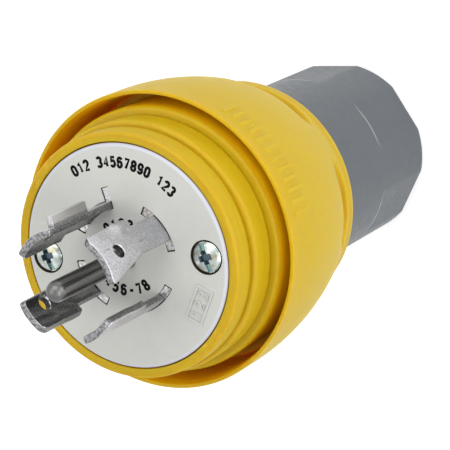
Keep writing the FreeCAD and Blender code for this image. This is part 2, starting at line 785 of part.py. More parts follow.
def make_insert(side, place):
    """Insert: threaded brass tube pressed into a boss of the core."""
    body = new_body("insert_" + side)
    sketch = new_sketch(body, "rings", "XY_Plane", level=CARRIER_BACK + " - insert_length")
    draw_circle(sketch, "insert_radius - insert_gap")
    draw_circle(sketch, "screw_radius + insert_gap")
    pad(body, sketch, "tube", "insert_length")
    body.setExpression("Placement.Base.x", formula(place))


make_cord_nut()
make_slip_ring()
make_cord_grommet()
make_housing_shell()
make_face_gasket()
make_seal_sleeve()
make_shroud_boot()
make_face_plate()
make_contact_carrier()
for pole_name in BLADES:
    make_blade(pole_name)
make_ground_pin()
make_ground_strap()
for pole_name in POLES:
    make_terminal(pole_name)
for side_name, side_place in SIDES:
    make_face_screw(side_name, side_place)
    make_insert(side_name, side_place)

doc.recompute()

for item in doc.Objects:
    if "Invalid" in item.State or "Error" in item.State:
        raise RuntimeError(item.Name + " failed: " + ", ".join(item.State))
for body_made in parts:
    if body_made.Shape.isNull() or not body_made.Shape.isValid():
        raise RuntimeError(body_made.Label + " has no valid shape")

os.makedirs("parts", exist_ok=True)
for body_made in parts:
    body_made.Shape.exportStep("parts/" + body_made.Label + ".step")
    shape = body_made.Shape
    print(body_made.Label, len(shape.Solids), round(shape.Volume, 1))
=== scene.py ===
import math

import bmesh
import bpy
from mathutils import Matrix, Vector, noise


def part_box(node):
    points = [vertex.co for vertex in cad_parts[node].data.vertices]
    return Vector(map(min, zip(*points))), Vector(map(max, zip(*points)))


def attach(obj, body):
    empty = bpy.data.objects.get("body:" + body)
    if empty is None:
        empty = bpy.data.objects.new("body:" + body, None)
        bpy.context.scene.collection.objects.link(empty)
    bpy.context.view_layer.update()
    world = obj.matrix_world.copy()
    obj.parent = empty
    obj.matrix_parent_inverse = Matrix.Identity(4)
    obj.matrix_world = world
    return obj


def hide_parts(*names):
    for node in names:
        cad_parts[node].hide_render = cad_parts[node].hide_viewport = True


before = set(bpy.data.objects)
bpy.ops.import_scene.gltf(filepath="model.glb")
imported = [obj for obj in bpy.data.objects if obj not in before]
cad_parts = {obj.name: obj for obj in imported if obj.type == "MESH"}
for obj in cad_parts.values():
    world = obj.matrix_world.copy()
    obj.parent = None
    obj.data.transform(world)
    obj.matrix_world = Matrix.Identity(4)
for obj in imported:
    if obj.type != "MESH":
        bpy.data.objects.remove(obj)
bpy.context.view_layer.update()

# Watertight locking plug, standing on the flat end of its cord nut with the blades up.
# Sizes are in millimetres and angles in degrees, clockwise from Y as seen from in front of the face.
MM = 0.001


# View, floor and light: the plug is seen from above and in front of its face, on a plain white sheet.
# The camera stands where the photograph's did, at a focal length that gives the same perspective.
# Places and sides are in metres here.
CAMERA_PLACE = Vector((0.2642, 0.1098, 0.5073))
CAMERA_BACK = Vector((0.5015, 0.2163, 0.8377)).normalized()
CAMERA_UP = Vector((0.0, 0.9682, -0.2500)).normalized()
CAMERA_RIGHT = CAMERA_UP.cross(CAMERA_BACK)
LENS = 176.0
CLOSEST = 0.01
FARTHEST = 20.0
FLOOR_HALF = 2.5
FLOOR_DROP = 0.02 * MM
PAPER_WHITE = 0.8
PAPER_GLOW = 0.5
AMBIENT = 0.58
LAMP_REACH = 0.9
LAMP_AIM = Vector((0.0, 0.0, 0.08))
WHITE = (1.0, 1.0, 1.0)
# Each lamp: the direction that it stands in (right, up, back), its two sides, its watts and its tint
LAMPS = {
    "key_box": ((-0.4, 0.7, 1.0), 0.7, 0.5, 2.4, WHITE),
    "side_box": ((1.0, 0.3, 0.8), 0.6, 0.35, 1.8, (0.93, 0.97, 1.0)),
    "low_box": ((0.45, -0.4, 1.0), 0.6, 0.4, 2.4, WHITE),
    "fill_box": ((-1.3, -0.1, 1.0), 0.6, 0.4, 1.3, WHITE),
}

scene = bpy.context.scene
scene.view_settings.view_transform = "Standard"


def linked(name, data):
    """An object made from its data and linked to the scene."""
    thing = bpy.data.objects.new(name, data)
    scene.collection.objects.link(thing)
    return thing


camera = linked("photo_camera", bpy.data.cameras.new("photo_camera"))
camera.data.lens = LENS
camera.data.clip_start = CLOSEST
camera.data.clip_end = FARTHEST
turn = Matrix((CAMERA_RIGHT, CAMERA_UP, CAMERA_BACK)).transposed()
camera.matrix_world = Matrix.Translation(CAMERA_PLACE) @ turn.to_4x4()
scene.camera = camera

for name, ((right, up, back), lamp_wide, lamp_tall, watts, tint) in LAMPS.items():
    direction = CAMERA_RIGHT * right + CAMERA_UP * up + CAMERA_BACK * back
    lamp = bpy.data.lights.new(name, "AREA")
    lamp.shape = "RECTANGLE"
    lamp.size = lamp_wide
    lamp.size_y = lamp_tall
    lamp.energy = watts
    lamp.color = tint
    box = linked(name, lamp)
    box.location = LAMP_AIM + direction.normalized() * LAMP_REACH
    box.rotation_mode = "QUATERNION"
    box.rotation_quaternion = direction.to_track_quat("Z", "Y")


def colour(red, green, blue):
    """A colour given by its three values from 0 to 255, as the shader wants it."""
    parts = []
    for part in (red, green, blue):
        share = part / 255.0
        parts.append(share / 12.92 if share <= 0.04045 else ((share + 0.055) / 1.055) ** 2.4)
    return (*parts, 1.0)


def feed(tree, given, socket):
    """Gives a socket a link, a plain number or vector, or a colour of three values to 255."""
    if isinstance(given, bpy.types.NodeSocket):
        tree.links.new(given, socket)
    elif socket.type == "RGBA" and len(given) == 3:
        socket.default_value = colour(*given)
    else:
        socket.default_value = given


def maths(tree, kind, first, second=None):
    """A Math node over links or plain numbers, which gives its output."""
    node = tree.nodes.new("ShaderNodeMath")
    node.operation = kind
    feed(tree, first, node.inputs[0])
    if second is not None:
        feed(tree, second, node.inputs[1])
    return node.outputs[0]


def times(tree, first, second):
    """Two values multiplied."""
    return maths(tree, "MULTIPLY", first, second)


def blank_material(name, metallic=0.0):
    """A material with nothing laid on it yet, with its node tree and its shader."""
    material = bpy.data.materials.new(name)
    material.use_nodes = True
    shader = material.node_tree.nodes["Principled BSDF"]
    shader.inputs["Metallic"].default_value = metallic
    return material, material.node_tree, shader


def sees_background(tree):
    """A number that is 1 for rays that should see the white surroundings, and 0 for the light itself."""
    path = tree.nodes.new("ShaderNodeLightPath")
    seen = maths(tree, "MAXIMUM", path.outputs["Is Camera Ray"], path.outputs["Is Glossy Ray"])
    return maths(tree, "MAXIMUM", seen, path.outputs["Is Transmission Ray"])


world = bpy.data.worlds.new("white_room")
scene.world = world
world.use_nodes = True
sky = world.node_tree
ambient = sky.nodes["Background"]
shown = sky.nodes.new("ShaderNodeBackground")
for background, strength in ((ambient, AMBIENT), (shown, 1.0)):
    background.inputs["Color"].default_value = (*WHITE, 1.0)
    background.inputs["Strength"].default_value = strength
chosen = sky.nodes.new("ShaderNodeMixShader")
feed(sky, sees_background(sky), chosen.inputs["Fac"])
feed(sky, ambient.outputs[0], chosen.inputs[1])
feed(sky, shown.outputs[0], chosen.inputs[2])
feed(sky, chosen.outputs[0], sky.nodes["World Output"].inputs["Surface"])

floor_sheet = bpy.data.meshes.new("floor_sheet")
floor_sheet.from_pydata([(-FLOOR_HALF, -FLOOR_HALF, 0.0), (FLOOR_HALF, -FLOOR_HALF, 0.0),
                         (FLOOR_HALF, FLOOR_HALF, 0.0), (-FLOOR_HALF, FLOOR_HALF, 0.0)], [], [(0, 1, 2, 3)])
floor = linked("floor_sheet", floor_sheet)
floor.location.z = -FLOOR_DROP
paper, tree, shader = blank_material("white_paper")
shader.inputs["Base Color"].default_value = (PAPER_WHITE, PAPER_WHITE, PAPER_WHITE, 1.0)
shader.inputs["Roughness"].default_value = 0.9
glow = tree.nodes.new("ShaderNodeEmission")
feed(tree, times(tree, sees_background(tree), PAPER_GLOW), glow.inputs["Strength"])
both = tree.nodes.new("ShaderNodeAddShader")
feed(tree, shader.outputs[0], both.inputs[0])
feed(tree, glow.outputs[0], both.inputs[1])
feed(tree, both.outputs[0], tree.nodes["Material Output"].inputs["Surface"])
floor_sheet.materials.append(paper)


# Core: one grey nylon moulding with the wiring chamber, and a neck with a coarse thread for the cord nut.
# The neck is moulded in a ring that unscrews, so the thread has rounded crests and no parting line.
CORE_COLOUR = (96, 98, 100)
CORE_WORN = (140, 142, 143)
CORE_DUST = (150, 150, 146)
THREAD_PITCH = 3.0
THREAD_DEPTH = 0.8
THREAD_MARGIN = 1.5
THREAD_RUN_IN = 1.5
THREAD_RUN_OUT = 2.0
NECK_RADIUS = 19.4
NECK_ROWS = 120
NECK_BORE = 12.5
MOUTH_RADIUS = 17.2
MOUTH_STEP = 13.35
MOUTH_DEPTH = 14.0
MOUTH_FLARE = 2.0
CORE_RADIUS = 27.0
CORE_BORE = 23.8
SPIGOT_RADIUS = 26.0
SPIGOT_LENGTH = 1.4
SHOULDER = 58.0
SHOULDER_RISE = 4.0
CHAMBER_FLOOR = 61.5


def step(low, high, x):
    """A smooth rise from 0 to 1 between two values."""
    share = min(1.0, max(0.0, (x - low) / (high - low)))
    return share * share * (3.0 - 2.0 * share)


def plateau(low, high, rise, fall, x):
    """A smooth rise from 0 to 1 above one value, and a fall back to 0 below another."""
    return step(low, low + rise, x) * (1.0 - step(high - fall, high, x))


def rounded(corners, steps=4):
    """A closed outline through points of (across, up), with an arc where a third value gives its radius."""
    points = []
    count = len(corners)
    for index in range(count):
        corner = Vector(corners[index][:2])
        if len(corners[index]) == 2:
            points.append(corner)
            continue
        radius = corners[index][2]
        before = (Vector(corners[index - 1][:2]) - corner).normalized()
        after = (Vector(corners[(index + 1) % count][:2]) - corner).normalized()
        half = before.angle(after) / 2.0
        reach = radius / math.tan(half)
        centre = corner + (before + after).normalized() * (radius / math.sin(half))
        start = corner + before * reach - centre
        sweep = start.angle_signed(corner + after * reach - centre)
        for part in range(steps + 1):
            points.append(centre + Matrix.Rotation(-sweep * part / steps, 2) @ start)
    return points


def mesh_of(name, body):
    """The mesh that a bmesh holds. The bmesh goes."""
    mesh = bpy.data.meshes.new(name)
    body.to_mesh(mesh)
    body.free()
    return mesh


def finish_mesh(name, mesh, sharp=32.0):
    """An object from a mesh, shaded smooth up to an angle."""
    mesh.validate()
    mesh.shade_smooth()
    mesh.set_sharp_from_angle(angle=math.radians(sharp))
    return linked(name, mesh)


def bridge(body, low, high):
    """Faces from one ring of points to the next, where either may be a single point."""
    size = max(len(low), len(high))
    for place in range(size):
        beyond = (place + 1) % size
        if len(low) == 1:
            body.faces.new((low[0], high[beyond], high[place]))
        elif len(high) == 1:
            body.faces.new((low[place], low[beyond], high[0]))
        else:
            body.faces.new((low[place], low[beyond], high[beyond], high[place]))


def lathe(name, outline, segments=160, warp=None):
    """A closed outline of (radius, height) turned all round, where warp may move each point."""
    rings = []
    body = bmesh.new()
    for radius, height in outline:
        if radius < 1e-6:
            rings.append([body.verts.new((0.0, 0.0, height * MM))])
            continue
        ring = []
        for index in range(segments):
            angle = math.tau * index / segments
            r, z = (radius, height) if warp is None else warp(angle, radius, height)
            ring.append(body.verts.new((r * MM * math.sin(angle), r * MM * math.cos(angle), z * MM)))
        rings.append(ring)
    for index, ring in enumerate(rings):
        following = rings[(index + 1) % len(rings)]
        if len(ring) > 1 or len(following) > 1:
            bridge(body, ring, following)
    bmesh.ops.recalc_face_normals(body, faces=body.faces)
    return finish_mesh(name, mesh_of(name, body))


def group_of(name, inputs, outputs):
    """A node group with number or colour sockets, and its inner input and output nodes."""
    group = bpy.data.node_groups.new(name, "ShaderNodeTree")
    for label, kind, value in inputs:
        socket = group.interface.new_socket(label, in_out="INPUT", socket_type=kind)
        socket.default_value = value
    for label, kind in outputs:
        group.interface.new_socket(label, in_out="OUTPUT", socket_type=kind)
    return group, group.nodes.new("NodeGroupInput"), group.nodes.new("NodeGroupOutput")


def noise_node(tree, per_mm, detail=3.0, stretch=(1.0, 1.0, 1.0), shift=0.0):
    """Noise over the piece's own place, so many waves to the millimetre, from 0 to 1."""
    place = tree.nodes.new("ShaderNodeTexCoord")
    scale = tree.nodes.new("ShaderNodeMapping")
    scale.inputs["Location"].default_value = (shift, shift, shift)
    scale.inputs["Scale"].default_value = [per_mm / MM * part for part in stretch]
    feed(tree, place.outputs["Object"], scale.inputs["Vector"])
    made = tree.nodes.new("ShaderNodeTexNoise")
    made.inputs["Scale"].default_value = 1.0
    made.inputs["Detail"].default_value = detail
    feed(tree, scale.outputs[0], made.inputs["Vector"])
    return made.outputs["Fac"]


def ranged(tree, value, low, high, to_low=0.0, to_high=1.0):
    """A value mapped from one range to another, and kept inside it."""
    node = tree.nodes.new("ShaderNodeMapRange")
    for socket, given in zip(node.inputs, (value, low, high, to_low, to_high)):
        feed(tree, given, socket)
    return node.outputs[0]


def mixed(tree, mask, first, second):
    """One colour turning into another by a mask, where each may be a plain colour or a link."""
    node = tree.nodes.new("ShaderNodeMix")
    node.data_type = "RGBA"
    feed(tree, mask, node.inputs[0])
    feed(tree, first, node.inputs[6])
    feed(tree, second, node.inputs[7])
    return node.outputs[2]


def tinted(tree, surface, tint, mask, strength):
    """A colour with a tint over it, where the mask is and as strong as is given."""
    return mixed(tree, times(tree, mask, strength), surface, tint)


# Moulded grain: the fine spark texture of a mould, with soft flow marks over it
grain, grain_in, grain_out = group_of(
    "moulded_grain", [("Grain", "NodeSocketFloat", 1.0), ("Flow", "NodeSocketFloat", 1.0)],
    [("Height", "NodeSocketFloat"), ("Mottle", "NodeSocketFloat")])
spark = noise_node(grain, 3.2, 4.0)
flow = noise_node(grain, 0.12, 2.0, shift=3.0)
fine = times(grain, spark, grain_in.outputs["Grain"])
slow = times(grain, flow, grain_in.outputs["Flow"])
feed(grain, maths(grain, "ADD", fine, slow), grain_out.inputs["Height"])
feed(grain, ranged(grain, noise_node(grain, 0.5, 5.0, shift=7.0), 0.3, 0.7), grain_out.inputs["Mottle"])

# Edge wear: a mask over convex edges, broken up by noise
wear, wear_in, wear_out = group_of(
    "edge_wear", [("Low", "NodeSocketFloat", 0.53), ("High", "NodeSocketFloat", 0.62)],
    [("Mask", "NodeSocketFloat")])
shape_node = wear.nodes.new("ShaderNodeNewGeometry")
edge = ranged(wear, shape_node.outputs["Pointiness"], wear_in.outputs["Low"], wear_in.outputs["High"])
broken = ranged(wear, noise_node(wear, 0.9, 5.0, shift=11.0), 0.35, 0.65)
feed(wear, times(wear, edge, broken), wear_out.inputs["Mask"])

# Dust: a mask that gathers in hollows and lies in faint clouds
dust, dust_in, dust_out = group_of(
    "dust", [("Amount", "NodeSocketFloat", 1.0)], [("Mask", "NodeSocketFloat")])
shape_node = dust.nodes.new("ShaderNodeNewGeometry")
hollow = ranged(dust, shape_node.outputs["Pointiness"], 0.5, 0.42)
cloud = ranged(dust, noise_node(dust, 0.06, 4.0, shift=17.0), 0.45, 0.75, 0.0, 0.5)
lying = maths(dust, "ADD", times(dust, hollow, 0.6), cloud)
feed(dust, times(dust, lying, dust_in.outputs["Amount"]), dust_out.inputs["Mask"])


def place_group(tree, group, **values):
    """A node group placed in a material with its own values."""
    node = tree.nodes.new("ShaderNodeGroup")
    node.node_tree = group
    for label, value in values.items():
        node.inputs[label].default_value = value
    return node


def coated(tree, shader, surface, rough, height, distance):
    """Gives a shader its colour and roughness, and a relief from a height of so many millimetres."""
    feed(tree, surface, shader.inputs["Base Color"])
    feed(tree, rough, shader.inputs["Roughness"])
    node = tree.nodes.new("ShaderNodeBump")
    node.inputs["Distance"].default_value = distance * MM
    feed(tree, height, node.inputs["Height"])
    feed(tree, node.outputs[0], shader.inputs["Normal"])


def moulded_material(name, base, worn, dusty, rough, grain_height, dust_amount=0.25, cloud=0.1, gloss=0.5):
    """A moulded plastic or rubber: grained, mottled, pale at its edges and dusty in its hollows."""
    material, tree, shader = blank_material(name)
    shader.inputs["Specular IOR Level"].default_value = gloss
    grained = place_group(tree, grain, Flow=cloud * 10.0)
    worn_mask = place_group(tree, wear).outputs["Mask"]
    dust_mask = place_group(tree, dust, Amount=dust_amount).outputs["Mask"]
    plain = colour(*base)
    deeper = (plain[0] * (1.0 - cloud), plain[1] * (1.0 - 1.2 * cloud), plain[2] * (1.0 - 1.4 * cloud), 1.0)
    surface = mixed(tree, grained.outputs["Mottle"], deeper, base)
    surface = tinted(tree, surface, worn, worn_mask, 0.35)
    surface = mixed(tree, dust_mask, surface, dusty)
    matt = ranged(tree, grained.outputs["Mottle"], 0.0, 1.0, rough - 0.05, rough + 0.05)
    matt = maths(tree, "ADD", matt, times(tree, dust_mask, 0.2))
    coated(tree, shader, surface, matt, grained.outputs["Height"], grain_height)
    return material


def vector_maths(tree, kind, first, second=None):
    """A Vector Math node over links or plain vectors."""
    node = tree.nodes.new("ShaderNodeVectorMath")
    node.operation = kind
    feed(tree, first, node.inputs[0])
    if second is not None:
        feed(tree, second, node.inputs[1])
    return node


def piece_axes(tree):
    """A place on a piece as a link, and as its three parts, in metres."""
    place = tree.nodes.new("ShaderNodeTexCoord").outputs["Object"]
    parts = tree.nodes.new("ShaderNodeSeparateXYZ")
    feed(tree, place, parts.inputs[0])
    return place, parts.outputs


def piece_place(tree):
    """The radius from the plug's axis and the height of a place on a piece, in millimetres."""
    place, parts = piece_axes(tree)
    flat = vector_maths(tree, "MULTIPLY", place, (1.0 / MM, 1.0 / MM, 0.0)).outputs[0]
    return vector_maths(tree, "LENGTH", flat).outputs["Value"], maths(tree, "DIVIDE", parts["Z"], MM)


def laid_over(material, mask, tint):
    """Lays one more colour over what a material has, where the mask is."""
    tree = material.node_tree
    base = tree.nodes["Principled BSDF"].inputs["Base Color"]
    feed(tree, mixed(tree, mask, base.links[0].from_socket, tint), base)


def recoat(thing, material):
    """Gives an object one material and no other."""
    thing.data.materials.clear()
    thing.data.materials.append(material)


def dress(piece, material, body, slot, *nodes):
    """Gives a piece its material, its body and the solids that it stands for. The slot is not used."""
    recoat(piece, material)
    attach(piece, body)
    if nodes:
        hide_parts(*nodes)
    return piece


def thread_wave(angle, height):
    """How deep the rounded thread is at a place, from 0 at its crest to 1 at its root."""
    turns = (height / THREAD_PITCH - angle / math.tau) % 1.0
    return 0.5 - 0.5 * math.cos(math.tau * turns)


core_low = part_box("housing_shell")[0].z / MM
core_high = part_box("housing_shell")[1].z / MM
thread_start = core_low + THREAD_MARGIN
thread_end = SHOULDER - THREAD_MARGIN
thread_line = [Vector((NECK_RADIUS, thread_start + (thread_end - thread_start) * row / NECK_ROWS))
               for row in range(NECK_ROWS + 1)]
core_outline = rounded([
    (MOUTH_RADIUS, core_low, 0.4),
    (NECK_RADIUS, core_low, 0.5),
] + thread_line + [
    (NECK_RADIUS, SHOULDER),
    (CORE_RADIUS - SHOULDER_RISE, SHOULDER),
    (CORE_RADIUS, SHOULDER + SHOULDER_RISE),
    (CORE_RADIUS, core_high - SPIGOT_LENGTH),
    (SPIGOT_RADIUS, core_high - SPIGOT_LENGTH),
    (SPIGOT_RADIUS, core_high),
    (CORE_BORE, core_high),
    (CORE_BORE, CHAMBER_FLOOR),
    (NECK_BORE, CHAMBER_FLOOR),
    (NECK_BORE, core_low + MOUTH_DEPTH + MOUTH_FLARE),
    (MOUTH_STEP, core_low + MOUTH_DEPTH),
])


def core_thread(angle, radius, height):
    """Cuts the neck's thread, which runs out at both ends."""
    if abs(radius - NECK_RADIUS) > 0.01 or not thread_start < height < thread_end:
        return radius, height
    run = plateau(thread_start, thread_end, THREAD_RUN_IN, THREAD_RUN_OUT, height)
    return radius - THREAD_DEPTH * run * thread_wave(angle, height), height


core = lathe("core_shell", core_outline, 96, core_thread)
core_nylon = moulded_material("core_nylon", CORE_COLOUR, CORE_WORN, CORE_DUST, 0.45, 0.03)
dress(core, core_nylon, "housing", "core_nylon", "housing_shell")


# Inside the core: the pale carrier block, two pressed brass inserts, the ground strap and five terminals.
# They are sealed in behind the face, so each keeps its own solid and gets its real finish.
CARRIER_COLOUR = (203, 201, 194)
CARRIER_WORN = (222, 220, 214)
CARRIER_DUST = (168, 164, 152)
BRASS_BRIGHT = (201, 163, 86)
BRASS_DULL = (150, 112, 60)
ZINC_BRIGHT = (206, 210, 208)
ZINC_DULL = (160, 166, 164)
METAL_WORN = (0.85, 0.84, 0.82, 1.0)


def metal_material(name, bright, dull, rough):
    """A metal whose colour and gloss vary in small patches, with a shallow matching relief."""
    material, tree, shader = blank_material(name, 1.0)
    patch = ranged(tree, noise_node(tree, 0.8, 6.0), 0.35, 0.65)
    worn_mask = place_group(tree, wear).outputs["Mask"]
    surface = mixed(tree, patch, dull, bright)
    surface = tinted(tree, surface, METAL_WORN, worn_mask, 0.5)
    matt = ranged(tree, patch, 0.0, 1.0, rough + 0.08, rough - 0.08)
    coated(tree, shader, surface, matt, patch, 0.004)
    return material


carrier_nylon = moulded_material("carrier_nylon", CARRIER_COLOUR, CARRIER_WORN, CARRIER_DUST, 0.5, 0.03)
plain_brass = metal_material("plain_brass", BRASS_BRIGHT, BRASS_DULL, 0.32)
plain_zinc = metal_material("plain_zinc", ZINC_BRIGHT, ZINC_DULL, 0.28)
inner_finish = {"contact_carrier": carrier_nylon, "insert_left": plain_brass, "insert_right": plain_brass,
                "ground_strap": plain_brass}
for pole in ("x", "y", "z", "neutral", "ground"):
    inner_finish["clamp_plate_" + pole] = plain_brass
    inner_finish["terminal_screw_" + pole] = plain_zinc
for name, finish in inner_finish.items():
    recoat(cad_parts[name], finish)


# Ground pin: a brass rod turned on a lathe and plated, with a domed end that is a little duller.
# Drawing marks run along it, with painted light and dark streaks and bands of reflection over them, and it
# is riveted to the ground strap behind the face.
PIN_RADIUS = 2.4
PIN_ROOT = 2.6
PIN_HEAD = 3.8
PIN_HEAD_LONG = 3.0
DOME_ROWS = 12
ROD_REFLECTED_DARK = (72, 71, 72)
ROD_REFLECTED_LIGHT = (122, 121, 121)
ROD_REFLECTED_BAND = (150, 149, 148)
ROD_PIT = (52, 51, 52)
DOME_LIGHT = (114, 114, 113)
DOME_DARK = (88, 88, 88)
pin_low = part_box("ground_pin")[0].z / MM
pin_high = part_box("ground_pin")[1].z / MM
dome_low = pin_high - PIN_RADIUS
face_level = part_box("face_plate")[1].z / MM
face_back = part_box("face_plate")[0].z / MM

pin_outline = rounded([
    (0.0, pin_low),
    (PIN_HEAD, pin_low, 0.3),
    (PIN_HEAD, pin_low + PIN_HEAD_LONG, 0.3),
    (PIN_ROOT, pin_low + PIN_HEAD_LONG),
    (PIN_ROOT, face_level - 0.1, 0.1),
    (PIN_RADIUS, face_level),
    (PIN_RADIUS, dome_low),
])
for row in range(1, DOME_ROWS + 1):
    lean = math.pi / 2.0 * row / DOME_ROWS
    pin_outline.append(Vector((PIN_RADIUS * math.cos(lean), dome_low + PIN_RADIUS * math.sin(lean))))
pin_outline[-1] = Vector((0.0, pin_high))
pin = lathe("ground_rod", pin_outline, 96)
rod_metal, tree, shader = blank_material("plated_rod", 1.0)
# Painted reflections: the lengthwise streaks are drawing marks in the relief and painted streaks of
# reflection in the colour, and the broad bands are painted reflections
drawn_streak_and_reflection = ranged(tree, noise_node(tree, 2.2, 4.0, (1.0, 1.0, 0.04)), 0.35, 0.65)
band = ranged(tree, noise_node(tree, 0.42, 1.0, (1.0, 1.0, 0.01), shift=2.0), 0.42, 0.56)
pit = ranged(tree, noise_node(tree, 3.4, 3.0, shift=5.0), 0.5, 0.75)
surface = mixed(tree, drawn_streak_and_reflection, ROD_REFLECTED_DARK, ROD_REFLECTED_LIGHT)
surface = tinted(tree, surface, ROD_REFLECTED_BAND, band, 0.6)
surface = tinted(tree, surface, ROD_PIT, pit, 0.4)
domed = ranged(tree, piece_place(tree)[1], dome_low, dome_low + 0.3)
surface = mixed(tree, domed, surface, mixed(tree, pit, DOME_LIGHT, DOME_DARK))
matt = ranged(tree, drawn_streak_and_reflection, 0.0, 1.0, 0.36, 0.26)
matt = maths(tree, "ADD", matt, times(tree, domed, 0.06))
coated(tree, shader, surface, matt, maths(tree, "SUBTRACT", drawn_streak_and_reflection, pit), 0.008)
dress(pin, rod_metal, "housing", "plated_brass", "ground_pin")


# Blades: four strips of brass, blanked, rolled to the blade circle, hooked for the lock and barrel-plated.
# Each has a hole near its tip, a chamfered end and a narrow stalk that stands out of a wider root.
BLADE_TURN = {"blade_x": 56.6, "blade_y": 151.0, "blade_z": 238.4, "blade_neutral": 325.4}
BLADE_INNER = 11.3
BLADE_OUTER = 13.0
BLADE_MIDDLE = (BLADE_INNER + BLADE_OUTER) / 2.0
BLADE_EDGE = 0.27
BLADE_COLUMNS = 40
EDGE_TURN = (math.pi / 6.0, math.pi / 3.0, math.pi / 2.0)
TAIL_HALF = 3.2
TAIL_TOP = 14.0
ROOT_HALF = 5.5
ROOT_LOW = 14.2
EYE_RADIUS = 1.65
EYE_RISE = 6.0
STALK_LEFT = 3.05
STALK_RIGHT = 3.3
HOOK_LEFT = 4.95
HOOK_RISE = 9.7
FLARE_RISE = 11.4
FLARE_WIDE = 6.1
HOLE_RADIUS = 1.6
HOLE_RISE = 18.8
HOLE_SHIFT = 0.7
HOLE_TURN = 61.2
TAB_TURN = 23.5
TAB_THICK = 1.5
TAB_REACH = 15.4
TAB_LOW = 9.2
TAB_HIGH = 23.0
TAB_ROOT_REACH = 16.1
SWELL_RAISED = 0.55
SWELL_ACROSS = -4.4
SWELL_RISE = 12.8
SWELL_WIDE = 1.9
SWELL_LONG = 3.2
CREASE_DEPTH = 0.3
CREASE_ACROSS = -2.37
CREASE_RISE = 12.2
CREASE_WIDE = 0.42
CREASE_LONG = 1.3
CREASE_LEAN = 0.15
WAVER = 0.04
TUMBLED_DARK = (164, 165, 172)
TUMBLED_LIGHT = (216, 216, 223)
INNER_SHADED_DARK = (105, 105, 108)
INNER_SHADED_LIGHT = (158, 158, 160)
SHEARED_DARK = (84, 84, 86)
SHEARED_LIGHT = (162, 162, 162)
TIP_DARK = (104, 104, 106)
TIP_LIGHT = (150, 150, 152)
ROOT_DARK = (160, 156, 152)
ROOT_LIGHT = (208, 206, 208)
HOLE_SHADE = (30, 30, 32)
TUMBLED_PATCH = (156, 155, 156)
TUMBLED_SCRATCH = (104, 104, 105)
ROLLED_PATCH = (128, 127, 128)
ROLLED_SCRATCH = (50, 50, 52)
DRAWN_REFLECTION_BRIGHT = (174, 173, 174)
DRAWN_REFLECTION_DARK = (44, 44, 46)
CORNER_HIGHLIGHT = (190, 190, 192)
TAB_BRIGHT = (184, 183, 184)

blade_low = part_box("blade_y")[0].z / MM
blade_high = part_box("blade_y")[1].z / MM


def strip_keys(name):
    """The corners of the strip's outline: a level, and how far its edges are from its middle line."""
    right_top = {"blade_x": FLARE_WIDE, "blade_neutral": ROOT_HALF}.get(name, STALK_RIGHT)
    right_stalk = ROOT_HALF if name == "blade_neutral" else STALK_RIGHT
    return [
        (blade_low, -TAIL_HALF, TAIL_HALF),
        (blade_low + TAIL_TOP, -TAIL_HALF, TAIL_HALF),
        (blade_low + ROOT_LOW, -ROOT_HALF, ROOT_HALF),
        (face_level - 0.5, -ROOT_HALF, ROOT_HALF),
        (face_level - 0.25, -ROOT_HALF + 0.15, ROOT_HALF - 0.15),
        (face_level - 0.2, -STALK_LEFT, right_stalk),
        (face_level + HOOK_RISE, -STALK_LEFT, right_stalk),
        (face_level + HOOK_RISE + 0.1, -HOOK_LEFT + 0.3, right_stalk),
        (face_level + HOOK_RISE + 0.25, -HOOK_LEFT + 0.08, right_stalk),
        (face_level + HOOK_RISE + 0.5, -HOOK_LEFT, right_stalk),
        (face_level + FLARE_RISE, -HOOK_LEFT, right_stalk),
        (blade_high - 1.2, -HOOK_LEFT, right_top - 0.1),
        (blade_high - 0.6, -HOOK_LEFT + 0.35, right_top - 0.15),
        (blade_high - 0.2, -HOOK_LEFT + 0.85, right_top - 0.35),
        (blade_high, -HOOK_LEFT + 1.3, right_top - 0.7),
    ]


def blend(first, second, share):
    """The row that lies a share of the way from one row to another."""
    return tuple(one + (other - one) * share for one, other in zip(first, second))


def strip_rows(name):
    """The strip's left and right edges and its inset at each level, in close rows where it stands out."""
    keys = strip_keys(name)
    rows = [(*keys[0], 0.0)]
    for first, second in zip(keys, keys[1:]):
        gap = 0.4 if second[0] > face_level else 3.0
        parts = max(1, math.ceil((second[0] - first[0]) / gap))
        rows += [(*blend(first, second, part / parts), 0.0) for part in range(1, parts + 1)]
    rows = [row for row in rows if row[0] < blade_high - BLADE_EDGE]
    for lean in (0.0,) + EDGE_TURN:
        level = blade_high - BLADE_EDGE * (1.0 - math.sin(lean))
        for first, second in zip(keys, keys[1:]):
            if first[0] < level <= second[0] + 1e-6:
                share = (level - first[0]) / (second[0] - first[0])
                rows.append((*blend(first, second, share), BLADE_EDGE * (1.0 - math.cos(lean))))
    return rows


def strip_section(left, right, inset):
    """The points round the strip's section, as distances across and from the axis, with rounded corners."""
    turn = BLADE_EDGE - inset
    across = [left + BLADE_EDGE + (right - left - 2.0 * BLADE_EDGE) * column / BLADE_COLUMNS
              for column in range(BLADE_COLUMNS + 1)]
    far = BLADE_OUTER - BLADE_EDGE
    near = BLADE_INNER + BLADE_EDGE
    corner = [(turn * math.sin(lean), turn * math.cos(lean)) for lean in EDGE_TURN]
    points = [(place, far + turn) for place in across]
    points += [(across[-1] + wide, far + deep) for wide, deep in corner]
    points += [(across[-1] + wide, near - deep) for wide, deep in corner[::-1]]
    points += [(place, near - turn) for place in across[::-1]]
    points += [(across[0] - wide, near - deep) for wide, deep in corner]
    points += [(across[0] - wide, far + deep) for wide, deep in corner[::-1]]
    return points


